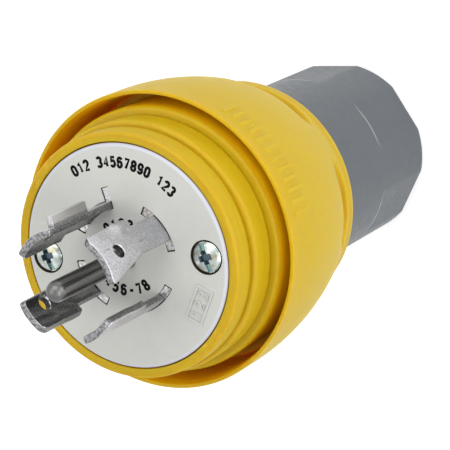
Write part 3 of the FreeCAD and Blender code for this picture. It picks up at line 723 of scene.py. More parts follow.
def add_strip(body, name):
    """The rolled strip as rows of points round its section, closed at both ends."""
    rows = []
    for level, left, right, inset in strip_rows(name):
        row = []
        for across, radius in strip_section(left, right, inset):
            lean = math.asin(across / BLADE_MIDDLE)
            row.append(body.verts.new((radius * math.sin(lean), radius * math.cos(lean), level)))
        rows.append(row)
    for low, high in zip(rows, rows[1:]):
        bridge(body, low, high)
    inner_end = 2 * BLADE_COLUMNS + 7
    for column in range(BLADE_COLUMNS):
        body.faces.new((rows[-1][column], rows[-1][column + 1], rows[-1][inner_end - column - 1],
                        rows[-1][inner_end - column]))
    body.faces.new(rows[0][::-1])
    bmesh.ops.remove_doubles(body, verts=body.verts, dist=0.0005)


def add_block(body, low, high, turned, edge=0.0):
    """A block between two corners, turned clockwise about the axis, with its edges rounded if asked."""
    made = bmesh.ops.create_cube(body, size=1.0)
    middle = (Vector(low) + Vector(high)) / 2.0
    size = Vector(high) - Vector(low)
    where = Matrix.Rotation(-math.radians(turned), 4, "Z") @ Matrix.Translation(middle)
    bmesh.ops.transform(body, verts=made["verts"], matrix=where @ Matrix.Diagonal((*size, 1.0)))
    if edge > 0.0:
        sides = list({side for corner in made["verts"] for side in corner.link_edges})
        bmesh.ops.bevel(body, geom=sides, offset=edge, segments=3, profile=0.5, affect="EDGES")


def radial_hole(across, level, radius):
    """A tool for a hole through a strip, wider at both faces so that its edges come out broken."""
    body = bmesh.new()
    depth = BLADE_OUTER - BLADE_INNER
    rims = ((BLADE_INNER - 1.0, radius + 1.2), (BLADE_INNER + 0.1 * depth, radius),
            (BLADE_OUTER - 0.12 * depth, radius), (BLADE_OUTER + 1.0, radius + 1.3))
    segments = 40
    rings = []
    for away, rim in rims:
        rings.append([body.verts.new((across + rim * math.cos(math.tau * index / segments), away,
                                      level + rim * math.sin(math.tau * index / segments)))
                      for index in range(segments)])
    for near, far in zip(rings, rings[1:]):
        bridge(body, near, far)
    body.faces.new(rings[0])
    body.faces.new(rings[-1])
    return body


def temporary(name, body):
    """An object from a bmesh, for use as a tool."""
    bmesh.ops.recalc_face_normals(body, faces=body.faces)
    return linked(name, mesh_of(name, body))


def applied(thing):
    """The mesh of an object with its modifiers applied. The object goes."""
    graph = bpy.context.evaluated_depsgraph_get()
    graph.update()
    mesh = bpy.data.meshes.new_from_object(thing.evaluated_get(graph))
    bpy.data.objects.remove(thing)
    return mesh


def combined(first, second, kind):
    """Two closed objects joined or cut by an exact boolean."""
    modifier = first.modifiers.new("join", "BOOLEAN")
    modifier.operation = kind
    modifier.solver = "EXACT"
    modifier.object = second
    name = first.name
    mesh = applied(first)
    bpy.data.objects.remove(second)
    return linked(name, mesh)


def formed(point, name):
    """The swell that the press leaves at a hook, and the crease beside it."""
    radius = math.hypot(point.x, point.y)
    across = BLADE_MIDDLE * math.atan2(point.x, point.y)
    rise = point.z - face_level
    strength = 1.0 if name == "blade_x" else 0.45
    beside = (across - SWELL_ACROSS) / SWELL_WIDE
    above = (rise - SWELL_RISE) / SWELL_LONG
    swell = math.exp(-(beside ** 2 + above ** 2))
    above = rise - CREASE_RISE
    beside = (across - CREASE_ACROSS - CREASE_LEAN * above) / CREASE_WIDE
    crease = math.exp(-(beside ** 2 + (above / CREASE_LONG) ** 2))
    waver = noise.noise(point * 0.3) * WAVER
    radius_now = radius + strength * (SWELL_RAISED * swell - CREASE_DEPTH * crease) + waver
    return Vector((point.x / radius * radius_now, point.y / radius * radius_now, point.z))


def make_blade(name):
    """One blade, from its plain strip to the tumbled, plated piece."""
    body = bmesh.new()
    add_strip(body, name)
    strip = temporary(name + "_strip", body)
    if name == "blade_neutral":
        tabs = bmesh.new()
        half = TAB_THICK / 2.0
        for reach, low, high, edge in ((TAB_REACH, face_level + TAB_LOW, face_level + TAB_HIGH, 0.3),
                                       (TAB_ROOT_REACH, blade_low + ROOT_LOW, face_level - 0.4, 0.0)):
            add_block(tabs, (-half, BLADE_MIDDLE, low), (half, reach, high), TAB_TURN, edge)
        strip = combined(strip, temporary(name + "_tabs", tabs), "UNION")
    for tool, across, level, radius in (("_hole", HOLE_SHIFT, face_level + HOLE_RISE, HOLE_RADIUS),
                                        ("_eye", 0.0, blade_low + EYE_RISE, EYE_RADIUS)):
        strip = combined(strip, temporary(name + tool, radial_hole(across, level, radius)), "DIFFERENCE")
    mesh = applied(strip)
    for vertex in mesh.vertices:
        vertex.co = formed(vertex.co, name)
    mesh.transform(Matrix.Scale(MM, 4) @ Matrix.Rotation(-math.radians(BLADE_TURN[name]), 4, "Z"))
    return finish_mesh(name + "_strip", mesh, 38.0)


def piece_turn(tree):
    """The angle of a place on a piece, clockwise from Y in degrees, from 0 to 360."""
    parts = piece_axes(tree)[1]
    turned = maths(tree, "DEGREES", maths(tree, "ARCTAN2", parts["X"], parts["Y"]))
    return maths(tree, "MODULO", maths(tree, "ADD", turned, 360.0), 360.0)


blade_metal, tree, shader = blank_material("tumbled_plate", 1.0)
place = tree.nodes.new("ShaderNodeTexCoord")
flat = vector_maths(tree, "MULTIPLY", place.outputs["Object"], (1.0, 1.0, 0.0)).outputs[0]
outward = vector_maths(tree, "NORMALIZE", flat).outputs[0]
lean = vector_maths(tree, "DOT_PRODUCT", outward, place.outputs["Normal"]).outputs["Value"]
mottle = ranged(tree, noise_node(tree, 3.4, 6.0), 0.36, 0.64)
scratch = times(tree, ranged(tree, noise_node(tree, 1.3, 5.0, (1.0, 1.0, 0.12), 21.0), 0.6, 0.7),
                ranged(tree, noise_node(tree, 0.25, 2.0, shift=13.0), 0.45, 0.6))
patches = ranged(tree, noise_node(tree, 0.3, 4.0, shift=9.0), 0.35, 0.65)
broken = ranged(tree, noise_node(tree, 1.6, 5.0, shift=27.0), 0.4, 0.56)
level_part = tree.nodes.new("ShaderNodeSeparateXYZ")
feed(tree, place.outputs["Normal"], level_part.inputs[0])
upward = ranged(tree, level_part.outputs["Z"], 0.5, 0.8)
reach, height = piece_place(tree)
# Sheared edges: the end at the tip and the pale shoulders at the root differ, and the wall of the hole is
# painted dark as shade
sheared = mixed(tree, mottle, SHEARED_DARK, SHEARED_LIGHT)
at_tip = times(tree, upward, ranged(tree, height, blade_high - 0.8, blade_high - 0.5))
sheared = mixed(tree, at_tip, sheared, mixed(tree, broken, TIP_DARK, TIP_LIGHT))
at_root = times(tree, upward, ranged(tree, height, face_level + 0.5, face_level + 0.3))
sheared = mixed(tree, at_root, sheared, mixed(tree, broken, ROOT_DARK, ROOT_LIGHT))
quarter = maths(tree, "MODULO", piece_turn(tree), 90.0)
beside = maths(tree, "ABSOLUTE", maths(tree, "SUBTRACT", quarter, HOLE_TURN))
above = maths(tree, "ABSOLUTE", maths(tree, "SUBTRACT", height, face_level + HOLE_RISE))
in_shaded_hole = times(tree, ranged(tree, beside, 11.0, 10.0), ranged(tree, above, 2.0, 1.8))
sheared = tinted(tree, sheared, HOLE_SHADE, in_shaded_hole, 0.85)
# The outer face is tumbled bright and scratched
tumbled = mixed(tree, mottle, TUMBLED_DARK, TUMBLED_LIGHT)
tumbled = tinted(tree, tumbled, TUMBLED_PATCH, patches, 0.35)
tumbled = tinted(tree, tumbled, TUMBLED_SCRATCH, scratch, 0.6)
# The inner face keeps the marks of rolling, and is painted darker as painted shade and reflection
rolled = mixed(tree, mottle, INNER_SHADED_DARK, INNER_SHADED_LIGHT)
rolled = tinted(tree, rolled, ROLLED_PATCH, patches, 0.4)
rolled = tinted(tree, rolled, ROLLED_SCRATCH, scratch, 0.5)
# Painted reflections: light and dark streaks along the strip, which are also drawing marks in the relief
drawn_mark_and_reflection = ranged(tree, noise_node(tree, 0.8, 4.0, (1.0, 1.0, 0.12), 31.0), 0.44, 0.6)
dark_mark_and_reflection = ranged(tree, noise_node(tree, 0.6, 4.0, (1.0, 1.0, 0.2), 43.0), 0.52, 0.62)
rolled = tinted(tree, rolled, DRAWN_REFLECTION_BRIGHT, drawn_mark_and_reflection, 0.3)
rolled = tinted(tree, rolled, DRAWN_REFLECTION_DARK, dark_mark_and_reflection, 0.5)
inward = ranged(tree, lean, -0.4, -0.6)
surface = mixed(tree, ranged(tree, lean, 0.4, 0.6), sheared, tumbled)
surface = mixed(tree, inward, surface, rolled)
# Painted highlights lie along the rounded edges, broken up by noise, and the tab is paler
steep = maths(tree, "ABSOLUTE", lean)
corner = times(tree, ranged(tree, steep, 0.25, 0.5), ranged(tree, steep, 0.98, 0.8))
corner = times(tree, corner, ranged(tree, broken, 0.0, 1.0, 0.3, 0.8))
surface = mixed(tree, corner, surface, CORNER_HIGHLIGHT)
surface = tinted(tree, surface, TAB_BRIGHT, ranged(tree, reach, 13.3, 13.7), 0.7)
matt = ranged(tree, mottle, 0.0, 1.0, 0.46, 0.34)
matt = maths(tree, "SUBTRACT", matt, times(tree, inward, 0.14))
marks = times(tree, maths(tree, "ADD", drawn_mark_and_reflection, dark_mark_and_reflection), inward)
marks = maths(tree, "ADD", maths(tree, "SUBTRACT", mottle, scratch), marks)
coated(tree, shader, surface, matt, marks, 0.01)
for name in BLADE_TURN:
    dress(make_blade(name), blade_metal, "housing", "plated_brass", name)


# Face: a disc of off-white nylon with a rounded rim, four curved slots, and recesses for two screws.
# A flat rubber gasket lies under it, and both are clamped to the core by the screws.
FACE_COLOUR = (202, 203, 197)
FACE_WORN = (226, 228, 232)
FACE_DUST = (198, 195, 186)
GROOVE_SHADE = (66, 58, 46)
RIM_SHEEN = (212, 216, 236)
GAP_SHADE = (132, 78, 26)
FOOT_SHADE = (138, 136, 126)
FACE_RADIUS = 26.0
FACE_ROUND = 0.15
RIM_INNER = 24.9
RIM_ROUND = 0.9
SLOT_GAP = 0.16
SLOT_HALF = 27.5
ARC_PARTS = 26
SCREW_PLACE = 20.8
RECESS_RADIUS = 3.95
RECESS_DEPTH = 1.3
SHANK_HOLE = 2.4
BLACK_RUBBER = (34, 34, 35)
BLACK_WORN = (70, 70, 70)
BLACK_DUST = (96, 94, 90)

face_nylon = moulded_material("face_nylon", FACE_COLOUR, FACE_WORN, FACE_DUST, 0.4, 0.015,
                              dust_amount=0.08, cloud=0.02)
# Shade in the grooves, sheen on the rounded rim, shade in the gap round it and at the foot of raised marks
tree = face_nylon.node_tree
away, height = piece_place(tree)
sunk = times(tree, ranged(tree, height, face_level - 0.08, face_level - 0.3),
             ranged(tree, away, RIM_INNER + 0.5, RIM_INNER + 0.3))
laid_over(face_nylon, sunk, GROOVE_SHADE)
turned_over = times(tree, ranged(tree, away, FACE_RADIUS - 0.95, FACE_RADIUS - 0.55), 0.65)
laid_over(face_nylon, turned_over, RIM_SHEEN)
laid_over(face_nylon, ranged(tree, away, FACE_RADIUS - 0.14, FACE_RADIUS - 0.05), GAP_SHADE)
at_foot = times(tree, ranged(tree, height, face_level + 0.005, face_level + 0.01),
                ranged(tree, height, face_level + 0.22, face_level + 0.12, 0.0, 0.7))
laid_over(face_nylon, at_foot, FOOT_SHADE)


def polar(radius, angle):
    """A place in the face's plane, from its radius and its angle clockwise from Y."""
    turned = math.radians(angle)
    return radius * math.sin(turned), radius * math.cos(turned)


def arc(radius, first, last):
    """Points along an arc in the face's plane, from one angle to another."""
    return [polar(radius, first + (last - first) * part / ARC_PARTS) for part in range(ARC_PARTS + 1)]


def flat_curve(name, thick):
    """A flat outline that is filled and given a thickness."""
    curve = bpy.data.curves.new(name, "CURVE")
    curve.dimensions = "2D"
    curve.fill_mode = "BOTH"
    curve.extrude = thick / 2.0
    return curve


def add_line(curve, points, closed=True):
    """A polygon in a curve, closed or open."""
    spline = curve.splines.new("POLY")
    spline.points.add(len(points) - 1)
    for point, (across, up) in zip(spline.points, points):
        point.co = (across, up, 0.0, 1.0)
    spline.use_cyclic_u = closed


def circle_points(radius, across=0.0, up=0.0, count=96):
    """Points round a circle in the face's plane."""
    return [(across + radius * math.sin(math.tau * index / count),
             up + radius * math.cos(math.tau * index / count)) for index in range(count)]


def slot_points(middle, tailed):
    """A blade's slot, which has a radial tail near its right end on the neutral pole."""
    high = BLADE_OUTER + SLOT_GAP
    inner = arc(BLADE_INNER - SLOT_GAP, middle - SLOT_HALF, middle + SLOT_HALF)
    outer = arc(high, middle - SLOT_HALF, middle + SLOT_HALF)
    if tailed:
        half = TAB_THICK / 2.0 + SLOT_GAP
        lean = math.degrees(math.asin(half / high))
        outer = arc(high, middle - SLOT_HALF, middle + TAB_TURN - lean)
        along = Vector(polar(1.0, middle + TAB_TURN))
        beside = Vector(polar(1.0, middle + TAB_TURN + 90.0))
        reach = TAB_ROOT_REACH + SLOT_GAP
        outer += [tuple(along * reach - beside * half), tuple(along * reach + beside * half),
                  tuple(along * math.sqrt(high * high - half * half) + beside * half),
                  polar(high, middle + SLOT_HALF)]
    return inner + outer[::-1]


plate_curve = flat_curve("face_disc", face_level - face_back - 2.0 * FACE_ROUND)
plate_curve.bevel_depth = FACE_ROUND
plate_curve.bevel_resolution = 3
plate_curve.offset = -FACE_ROUND
add_line(plate_curve, circle_points(RIM_INNER + 2.0 * FACE_ROUND, count=240))
add_line(plate_curve, circle_points(PIN_ROOT + 0.1))
for side in (-1.0, 1.0):
    add_line(plate_curve, circle_points(RECESS_RADIUS, side * SCREW_PLACE, 0.0))
for name, middle in BLADE_TURN.items():
    add_line(plate_curve, slot_points(middle, name == "blade_neutral"))
plate_mesh = applied(linked("face_disc_tool", plate_curve))
plate_mesh.transform(Matrix.Scale(MM, 4) @ Matrix.Translation((0.0, 0.0, (face_level + face_back) / 2.0)))
face_disc = finish_mesh("face_disc", plate_mesh, 40.0)
dress(face_disc, face_nylon, "housing", "face_nylon", "face_plate")

face_rim = lathe("face_rim", rounded([
    (RIM_INNER, face_back + 0.01),
    (FACE_RADIUS, face_back + 0.01, 0.2),
    (FACE_RADIUS, face_level - 0.004, RIM_ROUND),
    (RIM_INNER, face_level - 0.004),
], 6), 240)
dress(face_rim, face_nylon, "housing", "face_nylon")

recess_floor = face_level - RECESS_DEPTH
for label, side in (("left", -1.0), ("right", 1.0)):
    seat = lathe("screw_seat_" + label, rounded([
        (SHANK_HOLE, face_back),
        (RECESS_RADIUS, face_back),
        (RECESS_RADIUS, recess_floor),
        (SHANK_HOLE, recess_floor, 0.2),
    ]), 64)
    seat.data.transform(Matrix.Translation((side * SCREW_PLACE * MM, 0.0, 0.0)))
    dress(seat, face_nylon, "housing", "face_nylon")

black_rubber = moulded_material("black_rubber", BLACK_RUBBER, BLACK_WORN, BLACK_DUST, 0.6, 0.03)
recoat(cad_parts["face_gasket"], black_rubber)


# Printing on the face: plain figures pad-printed in black, in an arc at the top and two short arcs at the
# pin. The ink lies on the nylon as a thin film with slightly starved edges.
INK_THICK = 0.04
PEN = 0.68
FIGURE_WIDE = 0.6
INK_FULL = (4, 4, 5)
INK_STARVED = (44, 44, 44)

ink, tree, shader = blank_material("printing_ink")
starved = ranged(tree, noise_node(tree, 4.0, 4.0, shift=2.0), 0.62, 0.8)
shader.inputs["Specular IOR Level"].default_value = 0.08
surface = mixed(tree, starved, INK_FULL, INK_STARVED)
coated(tree, shader, surface, ranged(tree, starved, 0.0, 1.0, 0.4, 0.6), starved, 0.01)


def oval(across, up, wide, tall, start, end, steps=12):
    """Points along part of an oval, from one angle to another."""
    points = []
    for part in range(steps + 1):
        turned = math.radians(start + (end - start) * part / steps)
        points.append((across + wide * math.cos(turned), up + tall * math.sin(turned)))
    return points


# The pen strokes of each figure, in a box from 0 to 1 both ways
SIX = [oval(0.5, 0.7, 0.5, 0.3, 25.0, 180.0) + oval(0.5, 0.3, 0.5, 0.3, 180.0, -180.0, 20)]
FIGURES = {
    "0": [oval(0.5, 0.7, 0.5, 0.3, 0.0, 180.0) + oval(0.5, 0.3, 0.5, 0.3, 180.0, 360.0) + [(1.0, 0.7)]],
    "1": [[(0.15, 0.76), (0.6, 1.0), (0.6, 0.0)]],
    "2": [oval(0.5, 0.72, 0.5, 0.28, 170.0, -25.0) + [(0.0, 0.0), (1.0, 0.0)]],
    "3": [oval(0.5, 0.76, 0.48, 0.24, 160.0, -80.0), oval(0.5, 0.26, 0.5, 0.26, 90.0, -160.0)],
    "4": [[(0.74, 0.0), (0.74, 1.0), (0.0, 0.3), (1.0, 0.3)]],
    "5": [[(0.95, 1.0), (0.1, 1.0), (0.06, 0.54)] + oval(0.5, 0.32, 0.5, 0.32, 125.0, -155.0)],
    "6": SIX,
    "7": [[(0.0, 1.0), (1.0, 1.0), (0.35, 0.0)]],
    "8": [oval(0.5, 0.75, 0.44, 0.25, -90.0, 270.0, 20), oval(0.5, 0.25, 0.5, 0.25, 90.0, 450.0, 20)],
    "9": [[(1.0 - across, 1.0 - up) for across, up in SIX[0]]],
    "-": [[(0.05, 0.5), (0.95, 0.5)]],
}


def drawn(name, figure, wide, tall, thick, raised):
    """One figure drawn with a round pen and flattened, standing on the middle of its base line."""
    curve = bpy.data.curves.new(name, "CURVE")
    curve.dimensions = "3D"
    curve.bevel_depth = thick / 2.0
    curve.bevel_resolution = 2
    curve.use_fill_caps = True
    for line in FIGURES[figure]:
        add_line(curve, [((across - 0.5) * (wide - thick), thick / 2.0 + up * (tall - thick))
                         for across, up in line], closed=False)
    mesh = applied(linked(name, curve))
    mesh.transform(Matrix.Diagonal((1.0, 1.0, raised / thick, 1.0)))
    return mesh


def printed(name, text, radius, start, pitch, tall, upright=True, centre=(0.0, 0.0)):
    """Bold narrow figures set along an arc, each turned to stand on it."""
    whole = bmesh.new()
    for index, figure in enumerate(text):
        if figure == " ":
            continue
        mesh = drawn(name, figure, FIGURE_WIDE * tall, tall, PEN, INK_THICK)
        angle = start + pitch * index * (1.0 if upright else -1.0)
        across, up = polar(radius, angle)
        lean = -math.radians(angle if upright else angle + 180.0)
        mesh.transform(Matrix.Translation((centre[0] + across, centre[1] + up, face_level))
                       @ Matrix.Rotation(lean, 4, "Z"))
        whole.from_mesh(mesh)
        bpy.data.meshes.remove(mesh)
    whole_mesh = mesh_of(name, whole)
    whole_mesh.transform(Matrix.Scale(MM, 4))
    return dress(finish_mesh(name, whole_mesh), ink, "housing", "face_nylon")


printed("print_top", "012 34567890 123", 19.6, -25.2, 4.87, 2.8, centre=(-1.28, 0.75))
printed("print_over_pin", "01234", 6.2, -29.0, 15.5, 2.75)
printed("print_under_pin", "456-78", 9.15, 223.0, 15.4, 2.85, upright=False)


# Cavity mark: a plain frame with plain figures, cut into the mould, so that it stands up from the face.
# It is the nylon of the face itself, raised by about a quarter of a millimetre, at the lower right.
MARK_PLACE = (17.68, -10.75)
MARK_TURN = 28.8
MARK_WIDE = 4.3
MARK_LONG = 8.6
MARK_LINE = 0.45
MARK_RAISED = 0.28
MARK_FIGURE = (1.7, 2.7)
MARK_BASE = 1.35
MARK_STEP = 2.4

frame_curve = flat_curve("mark_frame", MARK_RAISED)
for inset in (0.0, MARK_LINE):
    wide = MARK_WIDE / 2.0 - inset
    tall = MARK_LONG / 2.0 - inset
    add_line(frame_curve, [(-wide, -tall), (wide, -tall), (wide, tall), (-wide, tall)])
mark_body = bmesh.new()
mark_body.from_mesh(applied(linked("mark_frame", frame_curve)))
for index, figure in enumerate("123"):
    mesh = drawn("mark_figure", figure, *MARK_FIGURE, MARK_LINE, 2.0 * MARK_RAISED)
    mesh.transform(Matrix.Translation((MARK_BASE, MARK_STEP * (index - 1), 0.0))
                   @ Matrix.Rotation(math.pi / 2.0, 4, "Z"))
    mark_body.from_mesh(mesh)
mark_mesh = mesh_of("cavity_mark", mark_body)
mark_mesh.transform(Matrix.Scale(MM, 4) @ Matrix.Translation((*MARK_PLACE, face_level + 0.4 * MARK_RAISED))
                    @ Matrix.Rotation(-math.radians(MARK_TURN), 4, "Z"))
dress(finish_mesh("cavity_mark", mark_mesh), face_nylon, "housing", "face_nylon")


# Face screws: zinc-plated steel with a low domed head, cut for a flat blade and a cross, one on each side.
# They clamp the face to the core, and sit in the recesses with a painted dark line of shadow round the
# head.
SCREW_TURN = 346.0
SCREW_HEAD_RADIUS = 3.62
SCREW_HEAD = 1.7
HEAD_SHOULDER = 0.8
HEAD_CROWN = 1.4
SCREW_RADIUS = 2.05
SCREW_SLOT = 1.4
SLOT_DEPTH = 0.8
CROSS_HALF = 1.6
CROSS_DEPTH = 1.2
PLATED_DULL = (176, 184, 182)
PLATED_BRIGHT = (226, 232, 229)
PLATED_YELLOWED = (150, 144, 108)
RECESS_CHROMATE_SHADE = (134, 160, 156)
CROSS_FLOOR_SHADE = (80, 94, 104)
HEAD_RIM_SHADOW = (60, 66, 62)
screw_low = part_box("face_screw_left")[0].z / MM

head_top = recess_floor + SCREW_HEAD
zinc, tree, shader = blank_material("bright_zinc", 1.0)
haze = ranged(tree, noise_node(tree, 0.7, 5.0), 0.35, 0.65)
surface = mixed(tree, haze, PLATED_DULL, PLATED_BRIGHT)
yellowed = ranged(tree, noise_node(tree, 0.4, 2.0, shift=4.0), 0.45, 0.65)
surface = tinted(tree, surface, PLATED_YELLOWED, yellowed, 0.75)
axes = piece_axes(tree)[1]
beside = maths(tree, "SUBTRACT", maths(tree, "ABSOLUTE", axes["X"]), SCREW_PLACE * MM)
off_axis = maths(tree, "ADD", times(tree, beside, beside), times(tree, axes["Y"], axes["Y"]))
off_axis = maths(tree, "SQRT", off_axis)
depth = maths(tree, "SUBTRACT", head_top, piece_place(tree)[1])
# Painted shade: the cuts in the head are a teal of chromate, painted darker with depth, and a painted
# shadow lies round the lower edge of the head
in_shaded_recess = times(tree, ranged(tree, depth, 0.45, 0.6), ranged(tree, off_axis, 3.45 * MM, 3.3 * MM))
under_rim_shadow = times(tree, ranged(tree, depth, 0.8, 1.1), ranged(tree, off_axis, 3.48 * MM, 3.58 * MM))
surface = mixed(tree, in_shaded_recess, surface, RECESS_CHROMATE_SHADE)
surface = mixed(tree, times(tree, in_shaded_recess, ranged(tree, depth, 0.9, 1.1)), surface, CROSS_FLOOR_SHADE)
surface = mixed(tree, under_rim_shadow, surface, HEAD_RIM_SHADOW)
coated(tree, shader, surface, ranged(tree, haze, 0.0, 1.0, 0.32, 0.2), haze, 0.008)


def make_screw(name, across):
    """One face screw, turned, with its recesses broached into the head."""
    body = lathe(name, rounded([
        (0.0, screw_low),
        (SCREW_RADIUS, screw_low, 0.3),
        (SCREW_RADIUS, recess_floor),
        (SCREW_HEAD_RADIUS, recess_floor, 0.15),
        (SCREW_HEAD_RADIUS, head_top - HEAD_SHOULDER, 0.4),
        (SCREW_HEAD_RADIUS - HEAD_SHOULDER, head_top - 0.25, 0.6),
        (HEAD_CROWN, head_top, 0.8),
        (0.0, head_top),
    ]), 72)
    for wide, tall, depth in ((SCREW_SLOT / 2.0, SCREW_HEAD_RADIUS + 1.0, SLOT_DEPTH),
                              (SCREW_SLOT / 2.0, CROSS_HALF, CROSS_DEPTH),
                              (CROSS_HALF, SCREW_SLOT / 2.0, CROSS_DEPTH)):
        tool = bmesh.new()
        add_block(tool, (-wide, -tall, head_top - depth), (wide, tall, head_top + 1.0), SCREW_TURN)
        bmesh.ops.scale(tool, vec=(MM, MM, MM), verts=tool.verts)
        body = combined(body, temporary(name + "_tool", tool), "DIFFERENCE")
    body.data.transform(Matrix.Translation((across * MM, 0.0, 0.0)))
    mesh = body.data
    bpy.data.objects.remove(body)
    return finish_mesh(name, mesh, 35.0)


for label, side in (("left", -1.0), ("right", 1.0)):
    screw = make_screw("screw_" + label, side * SCREW_PLACE)
    dress(screw, zinc, "housing", "zinc_steel", "face_screw_" + label)


# Seal sleeve: soft yellow elastomer, moulded as a ring with a front lip, a raised band and two grooves.
# It is stretched over the front of the core, and seals against the skirt of the mating connector.
YELLOW = (203, 172, 6)
YELLOW_WORN = (246, 204, 60)
YELLOW_DUST = (222, 182, 70)
RING_PAINTED_HIGHLIGHT = (230, 194, 50)
RING_PAINTED_SHADE = (186, 138, 2)
RING_RADIUS = 31.2
BAND_RADIUS = 29.4
LIP_RADIUS = 28.4
GROOVE_DEPTH = 0.7
GROOVE_LONG = 0.7
LIP_LONG = 5.8
BAND_LONG = 6.6
SLEEVE_BORE = CORE_RADIUS + 0.05
FACE_GAP = 0.2
sleeve_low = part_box("seal_sleeve")[0].z / MM
sleeve_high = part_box("seal_sleeve")[1].z / MM

yellow_rubber = moulded_material("yellow_rubber", YELLOW, YELLOW_WORN, YELLOW_DUST, 0.5, 0.02,
                                 dust_amount=0.12, cloud=0.05, gloss=0.3)
# Fine streaks of painted highlight and painted shade run round the ribs of the sleeve
tree = yellow_rubber.node_tree
away, height = piece_place(tree)
ring_place = tree.nodes.new("ShaderNodeCombineXYZ")
feed(tree, away, ring_place.inputs[0])
feed(tree, height, ring_place.inputs[1])
feed(tree, times(tree, noise_node(tree, 0.03, 2.0), 4.0), ring_place.inputs[2])
ring_noise = tree.nodes.new("ShaderNodeTexNoise")
ring_noise.inputs["Scale"].default_value = 1.3
ring_noise.inputs["Detail"].default_value = 4.0
feed(tree, ring_place.outputs[0], ring_noise.inputs["Vector"])
on_sleeve = ranged(tree, away, 31.0, 30.5, 0.08, 1.0)
for low, high, tint in ((0.5, 0.7, RING_PAINTED_HIGHLIGHT), (0.46, 0.3, RING_PAINTED_SHADE)):
    streaks = ranged(tree, ring_noise.outputs["Fac"], low, high, 0.0, 0.3)
    laid_over(yellow_rubber, times(tree, streaks, on_sleeve), tint)
shader = tree.nodes["Principled BSDF"]
shader.inputs["Subsurface Weight"].default_value = 0.8
shader.inputs["Subsurface Radius"].default_value = (1.0, 0.5, 0.05)
shader.inputs["Subsurface Scale"].default_value = 3.0 * MM
lip_back = sleeve_high - LIP_LONG
band_top = lip_back - GROOVE_LONG
band_low = band_top - BAND_LONG
ring_top = band_low - GROOVE_LONG
sleeve_seat = core_high - SPIGOT_LENGTH + 0.05
sleeve = lathe("seal_ring", rounded([
    (SLEEVE_BORE, sleeve_low),
    (RING_RADIUS, sleeve_low),
    (RING_RADIUS, ring_top, 1.0),
    (BAND_RADIUS - GROOVE_DEPTH, ring_top, 0.25),
    (BAND_RADIUS - GROOVE_DEPTH, band_low, 0.25),
    (BAND_RADIUS, band_low, 0.2),
    (BAND_RADIUS, band_top, 0.9),
    (LIP_RADIUS - GROOVE_DEPTH, band_top, 0.25),
    (LIP_RADIUS - GROOVE_DEPTH, lip_back, 0.25),
    (LIP_RADIUS, lip_back, 0.3),
    (LIP_RADIUS, sleeve_high, 0.7),
    (FACE_RADIUS + FACE_GAP, sleeve_high, 0.3),
    (FACE_RADIUS + FACE_GAP, sleeve_seat),
    (SLEEVE_BORE, sleeve_seat),
], 6), 200)
dress(sleeve, yellow_rubber, "housing", "yellow_elastomer", "seal_sleeve")


# Boot: the shroud, the grip and the collar, all one soft yellow moulding that is drawn over the core.
# Six thumb recesses are pressed in over the collar. Rows of plain raised bars on two sides help the grip.
RIM_RADIUS = 35.05
RIM_WALL = 1.25
LIP_WALL = 0.85
LIP_DEPTH = 2.5
SOCKET_TAPER = 0.7
SOCKET_DEPTH = 17.0
RIM_STRAIGHT = 7.0
COLLAR_OUTER = 28.6
COLLAR_INNER = 23.5
COLLAR_BAND = 3.0
SCOOP_FIRST = 31.0
SCOOPS = 6
SCOOP_DEPTH = 2.1
SCOOP_HALF = 22.0
SCOOP_FALL = 3.6
BAR_FIRST = 34.0
BAR_STEP = 4.3
BARS = 12
BAR_LOW = 87.6
BAR_HIGH = 93.6
BAR_RAISED = 0.3
BAR_FADE = 0.3
INNER_PAINTED_LIGHT = (232, 192, 6)
boot_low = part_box("shroud_boot")[0].z / MM
boot_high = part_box("shroud_boot")[1].z / MM
arc_top = boot_high - RIM_STRAIGHT
arc_rise = arc_top - boot_low - COLLAR_BAND
arc_run = RIM_RADIUS - COLLAR_OUTER
arc_radius = (arc_rise * arc_rise + arc_run * arc_run) / (2.0 * arc_run)


def boot_radius(height):
    """The boot's outside: a short straight collar, and an arc from it that ends upright below the rim."""
    below = min(arc_rise, max(0.0, arc_top - height))
    return RIM_RADIUS - arc_radius + math.sqrt(arc_radius * arc_radius - below * below)


def off_middle(turned, first, count):
    """The angle from the middle of the nearest of some equal parts round the axis."""
    half = 180.0 / count
    return (turned - first + half) % (2.0 * half) - half


def boot_shape(angle, radius, height):
    """Presses the thumb recesses into the outside and raises the bars on it."""
    if radius < COLLAR_OUTER - 0.9 or abs(radius - boot_radius(height)) > 0.9 or height > boot_high - 0.4:
        return radius, height
    turned = math.degrees(angle)
    beside = off_middle(turned, SCOOP_FIRST, SCOOPS)
    side = max(0.0, 1.0 - (beside / SCOOP_HALF) ** 2)
    back = boot_low + COLLAR_BAND + 0.008 * beside * beside
    fall = math.exp(-(max(0.0, height - back - 1.0) / SCOOP_FALL) ** 1.4)
    dip = SCOOP_DEPTH * side * step(back, back + 0.9, height) * fall
    raised = 0.0
    place = (turned % 180.0 - BAR_FIRST) / BAR_STEP
    if -0.5 < place < BARS - 0.5:
        away = abs(place - round(place)) * BAR_STEP
        raised = (1.0 - step(0.8, 1.1, away)) * plateau(BAR_LOW, BAR_HIGH, BAR_FADE, BAR_FADE, height)
    return radius - dip + BAR_RAISED * raised, height


